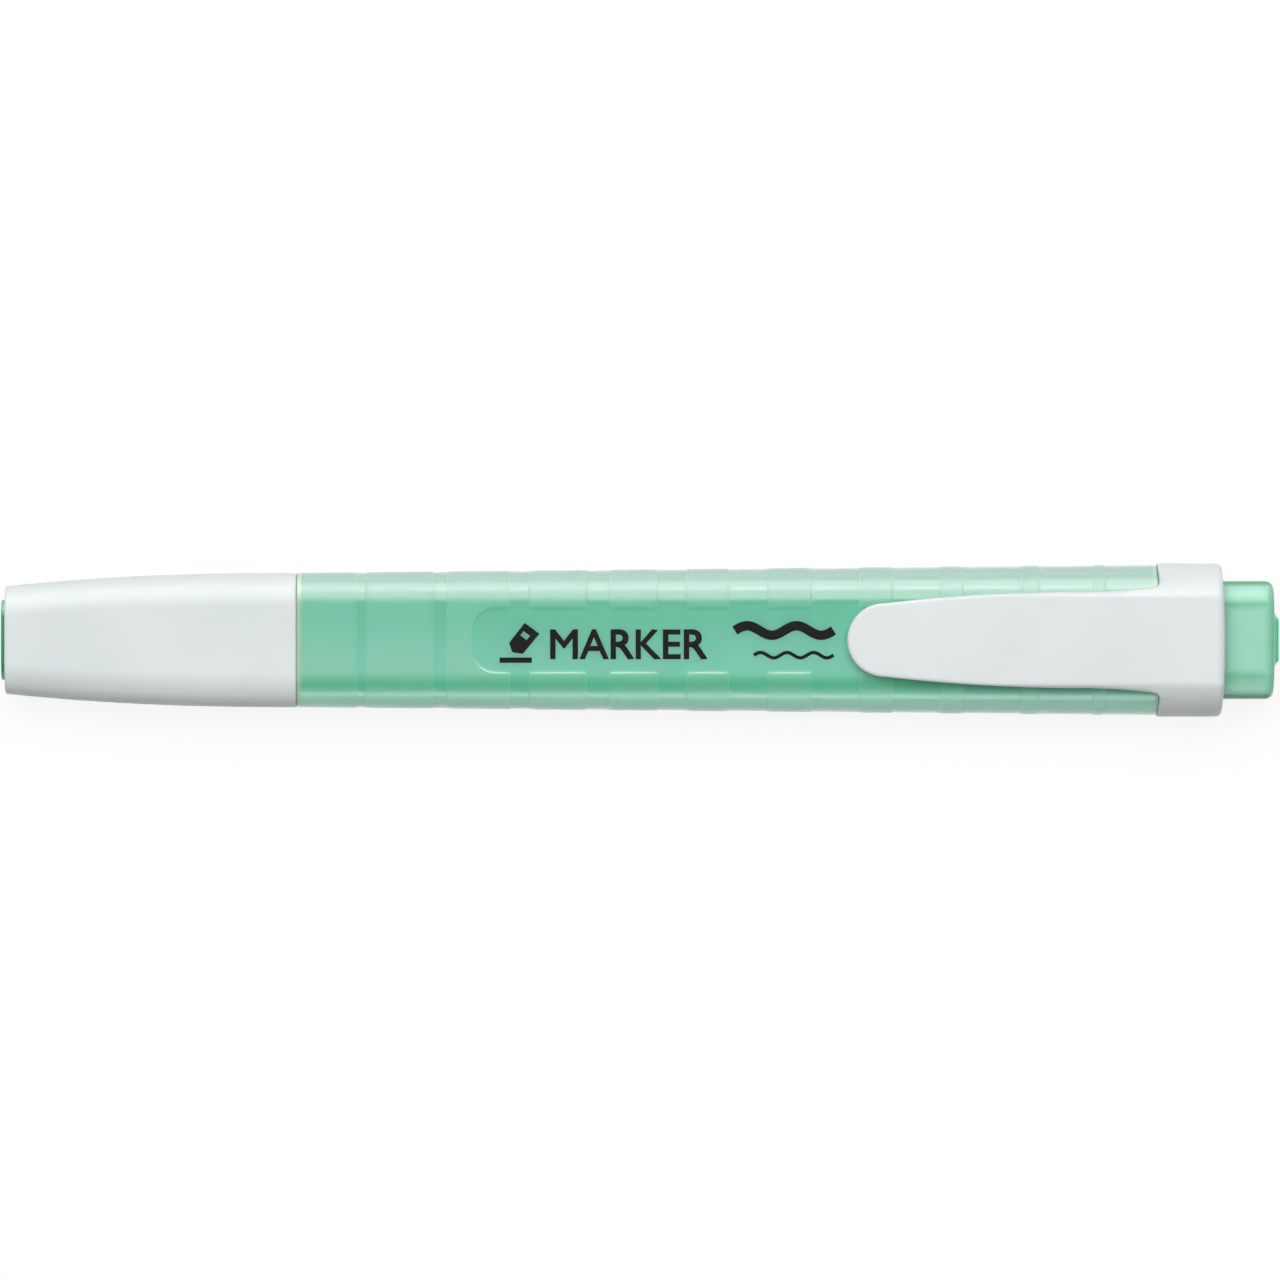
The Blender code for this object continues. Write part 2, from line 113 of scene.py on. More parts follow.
# Necks
FRONT_NECK_INSET = 1.3
FRONT_NECK_ROUND = 0.3
REAR_NECK = (12.5, 8.4, 2.9)
REAR_NECK_ROUND = 0.15
REAR_NECK_WALL = 1.0
BEAD_HEIGHT = 0.1
BEAD_LENGTH = 1.2
CAP_BEAD = cap_high[0] - 2.65
COLLAR_BEAD = barrel_high[0] - 2.2

# Cap and inner cap
CAP_WALL = 1.0
CAP_END_HALF = 5.675
CAP_END_THICK = 9.2
CAP_END_FLAT = 2.6
CAP_CURVE = 2.3
CAP_ROUND = 0.25  # at its mouth and at its end
BUTTON = (8.5, 5.4, 1.9)
BUTTON_ROUND = 0.22
BUTTON_PLAY = 0.08
LINER_INSET = 1.25
LINER_WALL = 0.8
LINER_CORNER = 0.3  # extra wall where a floor meets the wall, in the cap and in the inner cap
SEAL_PLAY = 0.2

# Collar and clip
COLLAR_HALF = collar_high[1]
COLLAR_TOP = collar_high[2]
COLLAR_FLAT = 4.7
COLLAR_FLANK = 6.2
COLLAR_ROUND = 0.9
COLLAR_BOW = 0.45  # how far the collar's front edge runs forward at its sides
BOW_REACH = 4.0
COLLAR_CROWN = 0.3
FRONT_CROWN = 0.1  # how far the raised front is domed
CLIP_TIP = arm_low[0]
CLIP_TIP_LENGTH = 3.9
CLIP_TIP_HALF = 3.88
CLIP_WAIST = 46.5
CLIP_WAIST_HALF = 5.07
CLIP_FLARE = 0.62
CLIP_FILLET = 0.6
CLIP_THICK = 1.4
CLIP_EDGE = 0.32
CLIP_BEND = 0.65
CLIP_BEND_LENGTH = 9.0
GRIP_BUMP = 0.45
GRIP_BUMP_AT = CLIP_TIP + 2.6
GRIP_BUMP_SPREAD = 1.3
POCKET_HALF = 3.6
POCKET_DEPTH = 4.0
CLIP_THINNING = 0.25
CLIP_EDGE_FADE = 1.2  # length over which the arm's round edge dies out at the collar
CLIP_UNDER_EDGE = 0.15
ARM_SIDE_STEPS = 4
EDGE_STEPS = 5

# Tail plug, nib holder and nib
SKIRT_INSET = 1.25
SKIRT_WALL = 0.9
SKIRT_LENGTH = 4.0
HEAD_WALL = 1.2
HEAD_GAP = 0.15  # between the rear neck's end and the head
BOSS = (5.9, 4.0, 0.9)
BOSS_END = (4.7, 2.9, 0.6)
NOZZLE = (8.4, 6.8, 3.1)
NOZZLE_LIP = (6.8, 5.4, 2.4)
HOLDER_BORE = (8.3, 5.1, 2.2)
NIB = (4.6, 3.2, 0.6)
NIB_TAIL = (2.6, 1.8, 0.6)
NIB_PLAY = 0.16
CHISEL_LEAN = 0.32
CHISEL_EDGE = 0.9
BOSS_HEIGHT = 0.5
TAIL_ROUND = 0.85
TAIL_CROWN = 0.1
FLANGE_DEPTH = 1.1
VENT_COUNT = 26
VENT_PLACE = 0.62  # share of the way from the nozzle's tip to its step
VENT_LENGTH = 3.2
VENT_RADIUS = 0.16
NOZZLE_SWELL = 0.7  # below 1, so that the nozzle widens most near its tip

# Print
INK_DEPTH = 0.03
INK_SUNK = 0.005
WORD = "MARKER"
WORD_WEIGHT = 0.1  # how far the letters are thickened, on every side
WORD_PLACE = (-9.4, 7.0, -0.45)  # left, right and middle
GLYPH_PLACE = (-12.7, -0.3)
STROKES = {  # left, right, middle, wave height, number of waves, width
    "print_broad_stroke": (10.0, 20.4, 1.0, 0.5, 2, 1.0),
    "print_fine_stroke": (12.0, 20.4, -1.6, 0.28, 3, 0.36),
}

# Stage, in metres
FLOOR_SIZE = 8.0
FLOOR_BASE = 0.14
FLOOR_GLOW = 0.875
FLOOR_BOUNCE = 0.33
FLOOR_SHEEN = (0.9, 3.6)  # the floor's brightness in what the pen mirrors: all round, and on the card
CARD_EDGE = (6.0, 35.0)  # a white card beside the pen, towards +Y, sets in softly between these, in mm
SKY = ((0.0, 0.95), (0.3, 0.7), (0.65, 0.6), (1.0, 0.9))  # height of the direction, grey
SKY_STRENGTH = 0.55
SKY_SIDES = (0.4, 1.3)  # share of the sky's light that comes from -Y and from +Y
BACKDROP = 1.0
SOFTBOXES = (
    # name, place, size, power, and whether it is mirrored only
    ("key_light", (-0.05, 0.3, 1.0), (1.0, 0.6), 7.7, False),
    ("strip_light", (0.0, 1.0, 0.3), (1.4, 0.58), 17.0, True),
    ("upper_light", (0.0, 0.75, 0.75), (1.4, 0.7), 15.5, True),
    ("low_strip_light", (0.1, -1.0, 0.25), (1.2, 0.3), 3.4, True),
)
LENS = 400
FRAME_SHARE = 1.003  # the frame's width over the pen's length


# Rings and skins


def blend_between(start, end, share):
    return start + (end - start) * share


def flank(flat, half, rise, steps=FLANK_STEPS):
    """(distance from the middle, drop below the flat) along an arc that ends upright at half."""
    width = half - flat
    rise = max(rise, width)
    radius = (width**2 + rise**2) / (2 * width)
    first = math.asin((radius - width) / radius)
    angles = [blend_between(first, math.pi / 2, step / steps) for step in range(steps + 1)]
    return [(half - radius + radius * math.sin(a), rise - radius * math.cos(a)) for a in angles]


def outline(half, back, front, flat, rise, front_flat=None, front_rise=None, front_run=None):
    """(y, z) points once round a section, from the front's middle and first towards +Y."""
    front_flat = front_flat or flat
    run = front_run or list(np.linspace(0, front_flat, FRONT_STEPS + 1))
    points = [(y, front) for y in run[:-1]]
    points += [(y, front - drop) for y, drop in flank(front_flat, half, front_rise or rise)]
    points += [(y, back + drop) for y, drop in reversed(flank(flat, half, rise))]
    points += [(y, back) for y in np.linspace(flat, 0, BACK_STEPS + 1)[1:]]
    return np.array(points + [(-y, z) for y, z in points[-2:0:-1]])


def with_play(size, play, corner=0.0):
    """A rounded size made wider and thicker by play, and its corner radius by corner."""
    return (size[0] + play, size[1] + play, size[2] + corner)


def rounded(size, middle=AXIS):
    """The outline of a rounded rectangle, with its corners drawn as the flanks."""
    width, thick, corner = size
    return outline(width / 2, middle - thick / 2, middle + thick / 2, width / 2 - corner, corner)


def inset(points, depth):
    """The outline taken in all round by depth, which may be one number or one for each point."""
    before, after = np.roll(points, 1, axis=0), np.roll(points, -1, axis=0)
    run = after - before
    inward = np.stack([run[:, 1], -run[:, 0]], axis=1)
    inward = -inward / np.linalg.norm(inward, axis=1, keepdims=True)
    middle = points.mean(axis=0)
    facing = np.sign(((middle - points) * inward).sum(axis=1, keepdims=True))
    return points + inward * facing * np.broadcast_to(depth, len(points))[:, None]


def ring(x, points):
    """An outline stood up at x, as points in space. x may be one number or one for each point."""
    return np.column_stack([np.broadcast_to(x, len(points)), points])


def rounded_end(x, points, radius, inward, steps=5):
    """Rings round a quarter circle from a face at x to the full outline. The solid lies inward, 1 or -1."""
    rings = []
    for step in range(steps + 1):
        angle = math.pi / 2 * step / steps
        taken = inset(points, radius * (1 - math.sin(angle)))
        rings.append(ring(x + inward * radius * (1 - math.cos(angle)), taken))
    return rings


def bead(middle, points, height):
    """Rings of a low ridge round an outline, or of a groove if height is below zero."""
    rings = []
    for share in np.linspace(-1, 1, 9):
        raised = inset(points, -height * math.cos(share * math.pi / 2))
        rings.append(ring(middle + share * BEAD_LENGTH / 2, raised))
    return rings


def shell_mesh(name, rings, joined=False, values=None):
    """A mesh skinned over rings, whose last meets the first if joined. Otherwise both ends get a face."""
    shape = bmesh.new()
    layer = shape.verts.layers.float.new("grip") if values is not None else None
    loops = []
    for number, points in enumerate(rings):
        loop = [shape.verts.new(point * MM) for point in points]
        if layer is not None:
            for vert, value in zip(loop, values[number]):
                vert[layer] = value
        loops.append(loop)
    for here, there in zip(loops, loops[1:] + (loops[:1] if joined else [])):
        for i in range(len(here)):
            shape.faces.new((here[i - 1], here[i], there[i], there[i - 1]))
    if not joined:
        shape.faces.new(loops[0])
        shape.faces.new(loops[-1])
    return closed_mesh(name, shape)


def closed_mesh(name, shape):
    """Merges what coincides, turns every face outwards and ends the bmesh as a mesh."""
    bmesh.ops.remove_doubles(shape, verts=shape.verts, dist=0.002 * MM)
    bmesh.ops.dissolve_degenerate(shape, edges=shape.edges, dist=0.001 * MM)
    bmesh.ops.recalc_face_normals(shape, faces=shape.faces)
    mesh = bpy.data.meshes.new(name)
    shape.to_mesh(mesh)
    shape.free()
    return mesh


def smooth(mesh, angle=32):
    mesh.shade_smooth()
    mesh.set_sharp_from_angle(angle=math.radians(angle))


def piece(name, mesh, material, body, slot, *nodes, angle=32):
    """Shows a mesh as a finished piece that rides on a body and stands for the named nodes."""
    mesh.materials.clear()
    mesh.materials.append(material)
    smooth(mesh, angle)
    obj = bpy.data.objects.new(name, mesh)
    bpy.context.scene.collection.objects.link(obj)
    if body:
        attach(obj, body)
    if nodes:
        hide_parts(*nodes)
    return obj


# Materials


def add(tree, kind, inputs=(), **settings):
    """A node with its settings made and its inputs set or linked."""
    made = tree.nodes.new(kind)
    for key, value in settings.items():
        setattr(made, key, value)
    for socket, value in dict(inputs).items():
        if isinstance(value, bpy.types.NodeSocket):
            tree.links.new(value, made.inputs[socket])
        else:
            made.inputs[socket].default_value = value
    return made


class Finish:
    """A material under construction: the shader's constants first, then what varies over the surface."""

    def __init__(self, name, roughness=0.4, **constants):
        self.material = bpy.data.materials.new(name)
        self.material.use_nodes = True
        self.tree = self.material.node_tree
        self.shader = self.tree.nodes["Principled BSDF"]
        self.shader.inputs["Roughness"].default_value = roughness
        for socket, value in constants.items():
            self.shader.inputs[socket.replace("_", " ")].default_value = value
        self.place = self.tree.nodes.new("ShaderNodeTexCoord").outputs["Object"]

    def node(self, kind, inputs=(), output=0, **settings):
        """One output of a new shader node."""
        return add(self.tree, f"ShaderNode{kind}", inputs, **settings).outputs[output]

    def axis(self, name):
        """One coordinate of the place, in metres."""
        return self.node("SeparateXYZ", {0: self.place}, output="XYZ".index(name))

    def across(self):
        """Distance from the pen's middle line, across it, in metres."""
        return self.node("Math", {0: self.axis("Y")}, operation="ABSOLUTE")

    def noise(self, scale, stretch=(1, 1, 1), detail=3.0):
        """Even noise, with scale in lumps for each metre, squeezed or drawn out along the axes."""
        where = self.node("Mapping", {"Vector": self.place, "Scale": stretch})
        return self.node("TexNoise", {"Vector": where, "Scale": scale, "Detail": detail})

    def ramp(self, value, low, high, start=0.0, end=1.0):
        """value from low to high becomes start to end, smoothly and no further."""
        settings = {"Value": value, "From Min": low, "From Max": high, "To Min": start, "To Max": end}
        return self.node("MapRange", settings, interpolation_type="SMOOTHSTEP")

    def patches(self, scale, start=0.0, end=1.0, stretch=(1, 1, 1), detail=3.0):
        """Soft patches between two values."""
        return self.ramp(self.noise(scale, stretch, detail), 0.3, 0.7, start, end)

    def mix(self, share, first, second):
        """A colour between two colours."""
        colours = {0: share, 6: first, 7: second}
        return self.node("Mix", colours, output=2, data_type="RGBA")

    def times(self, first, second):
        return self.node("Math", {0: first, 1: second}, operation="MULTIPLY")

    def plus(self, first, second):
        return self.node("Math", {0: first, 1: second}, operation="ADD")

    def bump(self, height, strength, distance, normal=None):
        inputs = {"Height": height, "Strength": strength, "Distance": distance * MM}
        if normal:
            inputs["Normal"] = normal
        return self.node("Bump", inputs)

    def set(self, **sockets):
        for socket, value in sockets.items():
            self.tree.links.new(value, self.shader.inputs[socket.replace("_", " ")])
        return self.material


def rgb(red, green, blue):
    """A colour given as the eye reads it, from 0 to 255, in the renderer's linear values."""
    shares = [level / 255 for level in (red, green, blue)]
    return (*[((c + 0.055) / 1.055) ** 2.4 if c > 0.04045 else c / 12.92 for c in shares], 1.0)


def white_plastic(name, light, shade, roughness):
    """Satin white moulding: faintly clouded, with a skin that is fine-grained and slightly sunk in places."""
    look = Finish(name, roughness, Subsurface_Weight=0.15, Subsurface_Radius=(1.0, 0.95, 0.9),
                  Subsurface_Scale=0.0012, Specular_IOR_Level=0.2)
    cloud = look.ramp(look.noise(90, detail=1.0), 0.2, 0.8)
    grain = look.noise(3200, detail=1.0)
    sink = look.noise(110, (0.5, 1, 1), 0.0)
    normal = look.bump(grain, 0.06, 0.012)
    normal = look.bump(sink, 0.08, 0.2, normal)
    rough = look.patches(420, roughness - 0.03, roughness + 0.03, detail=1.0)
    return look.set(Base_Color=look.mix(cloud, light, shade), Roughness=rough, Normal=normal)


def crease_shade(look, inner, outer):
    """Mask of painted shade: 1 along both edges of the flat front, where the wall is seen at its thickest and
    the crease is painted darker, and 0 away from them.
    """
    middle = (inner + outer) / 2
    rise = look.ramp(look.across(), inner * MM, middle * MM)
    fall = look.ramp(look.across(), middle * MM, outer * MM, 1.0, 0.0)
    return look.times(rise, fall)


def barrel_plastic():
    """Translucent mint: frosted on the raised bands, glossier and deeper in the grooves and on the panel,
    with painted shade on its front and flanks and painted light on its lower flank and edges.
    """
    look = Finish("mint_barrel", Subsurface_Weight=0.6, Subsurface_Radius=(0.7, 1.0, 0.85),
                  Subsurface_Scale=0.004, Coat_Weight=0.6, Coat_Roughness=0.22)
    frost = look.node("Attribute", output=2, attribute_name="frost")
    cloud = look.patches(110, -0.1, 0.1, (0.35, 1, 1), 2.0)
    # Painted shade: the front is painted darker towards +Y and paler towards -Y, as the light falls across
    # it, under the random cloud.
    lean = look.plus(look.ramp(look.axis("Y"), -3.4 * MM, 3.4 * MM, 0.9, 0.1), cloud)
    deep = look.mix(lean, rgb(108, 205, 168), rgb(132, 219, 186))
    pale = look.mix(lean, rgb(120, 207, 174), rgb(142, 216, 186))
    colour = look.mix(frost, deep, pale)
    # Painted shade: a dark band along both edges of the front, stronger towards -Y.
    side = look.ramp(look.axis("Y"), -1 * MM, 1 * MM, 0.55, 0.2)
    colour = look.mix(look.times(crease_shade(look, 3.2, 5.9), side), colour, rgb(70, 194, 140))
    # Painted shade: the upper flank, towards +Y, is painted greyer and darker than the front, so the mirrored
    # highlight there reads white.
    turned = look.ramp(look.axis("Y"), 3.2 * MM, 5.4 * MM, 0.0, 0.85)
    colour = look.mix(turned, colour, rgb(104, 160, 138))
    # Painted light: the lower flank, towards -Y, is painted bright and green, standing in for light that
    # passes on through the wall.
    painted_glow = look.ramp(look.axis("Y"), -6.2 * MM, -4.9 * MM, 1.0, 0.0)
    colour = look.mix(painted_glow, colour, rgb(160, 255, 208))
    # Painted light: the last strip at each end is painted pale, standing in for light that enters at an end
    # and leaves by its edge; a thin pale line along each band's lip is a painted highlight.
    front = look.ramp(look.axis("X"), (SHOULDER + 0.1) * MM, (SHOULDER + 0.7) * MM, 0.85, 0.0)
    neck = look.ramp(look.axis("X"), (SHOULDER - 0.3) * MM, SHOULDER * MM)
    rear = look.ramp(look.axis("X"), (COLLAR_FRONT - 1.3) * MM, (COLLAR_FRONT - 0.2) * MM, 0.0, 0.45)
    step = look.times(look.ramp(frost, 0.05, 0.4), look.ramp(frost, 0.45, 0.8, 1.0, 0.0))
    edge = look.plus(look.times(front, neck), look.plus(rear, look.times(step, 0.3)))
    colour = look.mix(edge, colour, rgb(190, 226, 186))
    streaks = look.noise(5200, (1, 0.06, 0.06), 2.0)
    flow = look.noise(150, (0.25, 1, 1), 2.0)
    rough = look.plus(look.ramp(frost, 0.0, 1.0, 0.2, 0.34), look.ramp(streaks, 0.3, 0.7, -0.02, 0.04))
    normal = look.bump(look.times(streaks, frost), 0.35, 0.02)
    normal = look.bump(flow, 0.12, 0.15, normal)
    return look.set(Base_Color=colour, Roughness=rough, Normal=normal)


def tail_plastic():
    """Clear mint, pale in its middle, painted deep green at its ends and edges, where light is seen along its
    walls, and darker along its creases as painted shade.
    """
    look = Finish("mint_tail", 0.16, Subsurface_Weight=0.6, Subsurface_Radius=(0.7, 1.0, 0.85),
                  Subsurface_Scale=0.003, Specular_IOR_Level=0.24)
    x = look.axis("X")
    # Painted light and shade: the ends and edges are painted deeper green, standing in for light seen along
    # the clear walls, and the creases get a painted dark band.
    front = look.ramp(x, (collar_high[0] - 0.1) * MM, (collar_high[0] + 0.8) * MM, 0.2, 0.0)
    rear = look.ramp(x, (tail_high[0] - 2.0) * MM, (tail_high[0] - 0.6) * MM, 0.0, 0.4)
    boss = look.ramp(x, (tail_high[0] - BOSS_HEIGHT - 0.1) * MM, (tail_high[0] - BOSS_HEIGHT) * MM)
    side = look.ramp(look.across(), (tail_high[1] - 0.75) * MM, (tail_high[1] - 0.15) * MM)
    depth = look.times(crease_shade(look, 2.9, 4.7), 0.35)
    for more in (front, rear, side):
        depth = look.node("Math", {0: depth, 1: more}, operation="MAXIMUM")
    cloud = look.patches(180)
    pale = look.mix(cloud, rgb(166, 230, 201), rgb(172, 233, 207))
    # Painted light: the lower flank, towards -Y, is painted paler, standing in for light that passes through
    # the wall.
    painted_glow = look.ramp(look.axis("Y"), -5.5 * MM, -4.3 * MM, 0.9, 0.0)
    pale = look.mix(painted_glow, pale, rgb(182, 255, 222))
    deep = look.mix(cloud, rgb(4, 158, 94), rgb(16, 166, 104))
    normal = look.bump(look.noise(260, (1, 0.5, 0.5), 2.0), 0.15, 0.12)
    rough = look.patches(700, 0.12, 0.2)
    # Painted light: the boss is painted bright green, standing in for light that passes through it.
    colour = look.mix(boss, look.mix(depth, pale, deep), rgb(60, 254, 180))
    return look.set(Base_Color=colour, Roughness=rough, Normal=normal)


def liner_plastic():
    """Deep green inner cap, which shows as the button in the cap's end."""
    look = Finish("deep_green_liner", 0.22, Subsurface_Weight=0.2, Subsurface_Radius=(0.2, 1.0, 0.6),
                  Subsurface_Scale=0.001, Coat_Weight=0.3, Coat_Roughness=0.1)
    colour = look.mix(look.patches(300), rgb(32, 160, 108), rgb(46, 178, 126))
    normal = look.bump(look.noise(400, detail=2.0), 0.15, 0.1)
    return look.set(Base_Color=colour, Roughness=look.patches(900, 0.18, 0.26), Normal=normal)


def inked_felt():
    """Pressed felt soaked with mint ink, darkest at the chisel edge, with its fibres along the pen."""
    look = Finish("inked_felt", 0.85, Sheen_Weight=0.3, Sheen_Roughness=0.6)
    fibres = look.noise(4200, (0.12, 1, 1), 5.0)
    pores = look.noise(9000, detail=2.0)
    wet = look.ramp(look.axis("X"), (nib_low[0] + 0.3) * MM, (nib_low[0] + 4.5) * MM, 1.0, 0.0)
    dry = look.mix(look.ramp(fibres, 0.3, 0.7), rgb(120, 205, 166), rgb(92, 186, 146))
    soaked = look.mix(look.ramp(fibres, 0.3, 0.7), rgb(70, 180, 134), rgb(44, 150, 106))
    normal = look.bump(pores, 0.3, 0.03, look.bump(fibres, 0.6, 0.05))
    rough = look.ramp(pores, 0.3, 0.7, 0.75, 0.95)
    return look.set(Base_Color=look.mix(wet, dry, soaked), Roughness=rough, Normal=normal)


def fibre_core():
    """The reservoir's bundle of parallel fibres, soaked with ink."""
    look = Finish("fibre_core", 0.9)
    fibres = look.patches(5200, stretch=(0.02, 1, 1), detail=4.0)
    soak = look.patches(60, stretch=(0.4, 1, 1))
    colour = look.mix(fibres, rgb(150, 216, 186), rgb(104, 190, 152))
    colour = look.mix(look.times(soak, 0.4), colour, rgb(70, 170, 128))
    return look.set(Base_Color=colour, Normal=look.bump(fibres, 0.5, 0.05))


def clear_film():
    """The thin film round the fibre core, slightly wrinkled."""
    look = Finish("clear_film", 0.2, Alpha=0.35, IOR=1.48)
    wrinkle = look.noise(500, (0.3, 1, 1))
    tint = look.mix(look.ramp(wrinkle, 0.3, 0.7), rgb(226, 238, 233), rgb(208, 230, 221))
    rough = look.patches(1200, 0.14, 0.26)
    return look.set(Base_Color=tint, Roughness=rough, Normal=look.bump(wrinkle, 0.4, 0.1))


def print_ink():
    """Matt black printing ink, slightly uneven where it was pressed on."""
    look = Finish("print_ink", 0.45, Specular_IOR_Level=0.2)
    colour = look.mix(look.ramp(look.noise(2600), 0.3, 0.75), rgb(8, 8, 10), rgb(15, 15, 18))
    normal = look.bump(look.noise(3600), 0.08, 0.01)
    return look.set(Base_Color=colour, Roughness=look.patches(3600, 0.4, 0.55), Normal=normal)


# Geometry Nodes


def node_tree(name, **inputs):
    """An empty tree with named inputs. Returns it with its group input's and group output's nodes."""
    tree = bpy.data.node_groups.new(name, "GeometryNodeTree")
    tree.interface.new_socket("Geometry", in_out="INPUT", socket_type="NodeSocketGeometry")
    for key, kind in inputs.items():
        tree.interface.new_socket(key.replace("_", " "), in_out="INPUT", socket_type=f"NodeSocket{kind}")
    tree.interface.new_socket("Geometry", in_out="OUTPUT", socket_type="NodeSocketGeometry")
    return tree, tree.nodes.new("NodeGroupInput"), tree.nodes.new("NodeGroupOutput")


def end_tree(tree, given, result, geometry):
    """Ends a tree in Realize Instances and Set Material."""
    real = add(tree, "GeometryNodeRealizeInstances", {"Geometry": geometry})
    dressed = add(tree, "GeometryNodeSetMaterial",
                  {"Geometry": real.outputs[0], "Material": given.outputs["Material"]})
    tree.links.new(dressed.outputs[0], result.inputs["Geometry"])
    return tree


def grown(mesh, tree, **values):
    """The plain mesh that a tree makes from a mesh, with the tree's named inputs set."""
    holder = bpy.data.objects.new(f"{tree.name}_source", mesh)
    bpy.context.scene.collection.objects.link(holder)
    modifier = holder.modifiers.new(tree.name, "NODES")
    modifier.node_group = tree
    for item in tree.interface.items_tree:
        key = item.name.replace(" ", "_")
        if item.in_out == "INPUT" and key in values:
            modifier[item.identifier] = values[key]
    depsgraph = bpy.context.evaluated_depsgraph_get()
    made = bpy.data.meshes.new_from_object(
        holder.evaluated_get(depsgraph), preserve_all_data_layers=True, depsgraph=depsgraph)
    holder.modifiers.clear()
    bpy.data.objects.remove(holder)
    return made


def band_tree():
    """Raises a skin along its normals where its grip value says so, and keeps that value for the frosting."""
    tree, given, result = node_tree("grip_bands", Relief="Float", Material="Material")
    grip = add(tree, "GeometryNodeInputNamedAttribute", {"Name": "grip"}, data_type="FLOAT")
    height = add(tree, "ShaderNodeMath", {0: grip.outputs[0], 1: given.outputs["Relief"]},
                 operation="MULTIPLY")
    normal = add(tree, "GeometryNodeInputNormal")
    offset = add(tree, "ShaderNodeVectorMath", {0: normal.outputs[0], "Scale": height.outputs[0]},
                 operation="SCALE")
    frost = add(tree, "GeometryNodeStoreNamedAttribute",
                {"Geometry": given.outputs["Geometry"], "Name": "frost", "Value": grip.outputs[0]},
                data_type="FLOAT", domain="POINT")
    raised = add(tree, "GeometryNodeSetPosition", {"Geometry": frost.outputs[0], "Offset": offset.outputs[0]})
    return end_tree(tree, given, result, raised.outputs[0])


def rib_tree():
    """Lays a round rib along X on every point of a mesh."""
    tree, given, result = node_tree("ribs", Length="Float", Radius="Float", Sides="Int", Material="Material")
    rib = add(tree, "GeometryNodeMeshCylinder",
              {"Vertices": given.outputs["Sides"], "Radius": given.outputs["Radius"],
               "Depth": given.outputs["Length"], "Side Segments": 4})
    turned = add(tree, "GeometryNodeTransform",
                 {"Geometry": rib.outputs["Mesh"], "Rotation": (0, math.pi / 2, 0)})
    placed = add(tree, "GeometryNodeInstanceOnPoints",
                 {"Points": given.outputs["Geometry"], "Instance": turned.outputs[0]})
    shaded = add(tree, "GeometryNodeSetShadeSmooth", {"Geometry": placed.outputs[0]})
    return end_tree(tree, given, result, shaded.outputs[0])


def stroke_tree():
    """Draws a line of points as a flat inked stroke of even width."""
    tree, given, result = node_tree("strokes", Width="Float", Depth="Float", Material="Material")
    curve = add(tree, "GeometryNodeMeshToCurve", {"Mesh": given.outputs["Geometry"]})
    profile = add(tree, "GeometryNodeCurvePrimitiveQuadrilateral",
                  {"Width": given.outputs["Width"], "Height": given.outputs["Depth"]})
    swept = add(tree, "GeometryNodeCurveToMesh",
                {"Curve": curve.outputs[0], "Profile Curve": profile.outputs[0], "Fill Caps": True})
    return end_tree(tree, given, result, swept.outputs[0])


# Barrel


def window_half(x):
    """Half the printing panel's width at x: none in front of it, then round corners, then even."""
    run = x - WINDOW_FRONT
    if run >= WINDOW_CORNER:
        return WINDOW_HALF
    fall = WINDOW_CORNER - max(run, 0.0)
    return WINDOW_HALF - WINDOW_CORNER + math.sqrt(WINDOW_CORNER**2 - fall**2)


def barrel_outline(x):
    """The barrel's outline at x, with points on both sides of the printing panel's edge."""
    share = min(1.0, max(0.0, (x - SHOULDER) / (COLLAR_FRONT - SHOULDER)))
    half = blend_between(FRONT_HALF, REAR_HALF, share)
    flat = blend_between(FRONT_FLAT, REAR_FLAT, share)
    rise = (half - flat) * blend_between(FRONT_CREASE, REAR_CREASE, share)
    edge = window_half(x)
    run = list(np.linspace(0, edge, FRONT_STEPS + 1 - LEDGE_STEPS))
    run += list(np.linspace(edge + WINDOW_STEP, flat, LEDGE_STEPS))
    return outline(half, AXIS - HALF_THICK, AXIS + HALF_THICK, flat, rise, front_run=run)


def band_edges():
    """(start, end) of every raised band, from the shoulder to the collar."""
    edges = []
    start = SHOULDER
    for band, groove in zip(BANDS, (*GROOVES, 0)):
        edges.append((start, start + band))
        start += band + groove
    return edges


def band_height(x):
    """How far the skin is raised at x, from 0 in a groove to 1 on a band inside its lip."""
    for start, end in band_edges():
        if start - BAND_STEP < x < end + BAND_STEP:
            depth = min(x - start if start > SHOULDER else BAND_LIP + 1, end - x)
            edge = min(1.0, max(0.0, 1 + depth / BAND_STEP))
            inner = min(1.0, max(0.0, (depth - BAND_LIP) / BAND_STEP + 1))
            return edge * blend_between(LIP_HEIGHT, 1.0, inner)
    return 0.0


def barrel_stations():
    """Stations along the barrel, close together only where the skin steps."""
    end = COLLAR_FRONT
    stations = set(np.round(np.arange(SHOULDER, end, STATION_GAP), 3))
    for edges in band_edges():
        for edge, inward in zip(edges, (1, -1)):
            for offset in (-BAND_STEP, -BAND_STEP / 2, 0, BAND_LIP - BAND_STEP, BAND_LIP):
                stations.add(round(edge + inward * offset, 3))
    for step in range(13):
        stations.add(round(WINDOW_FRONT + WINDOW_CORNER * (1 - math.cos(math.pi / 2 * step / 12)), 3))
    stations.add(round(WINDOW_FRONT - WINDOW_STEP, 3))
    return [x for x in sorted(stations) if SHOULDER + EDGE_ROUND < x < end - SEAM - EDGE_ROUND - 0.05]


def grip_values(x, height):
    """The grip value of each point of a ring: the band's height, and none on the printing panel."""
    panel = FRONT_STEPS + 1 - LEDGE_STEPS
    values = np.full(len(barrel_outline(x)), height)
    if x >= WINDOW_FRONT:
        values[:panel] = 0.0
        values[len(values) - panel + 1:] = 0.0
    return values


def bow(x, y):
    """x run forward at the pen's sides, as the collar's front edge is, and less with distance from it."""
    lead = max(0.0, 1 - (COLLAR_FRONT - x) / BOW_REACH)
    return x - COLLAR_BOW * lead**2 * (y / COLLAR_HALF) ** 2


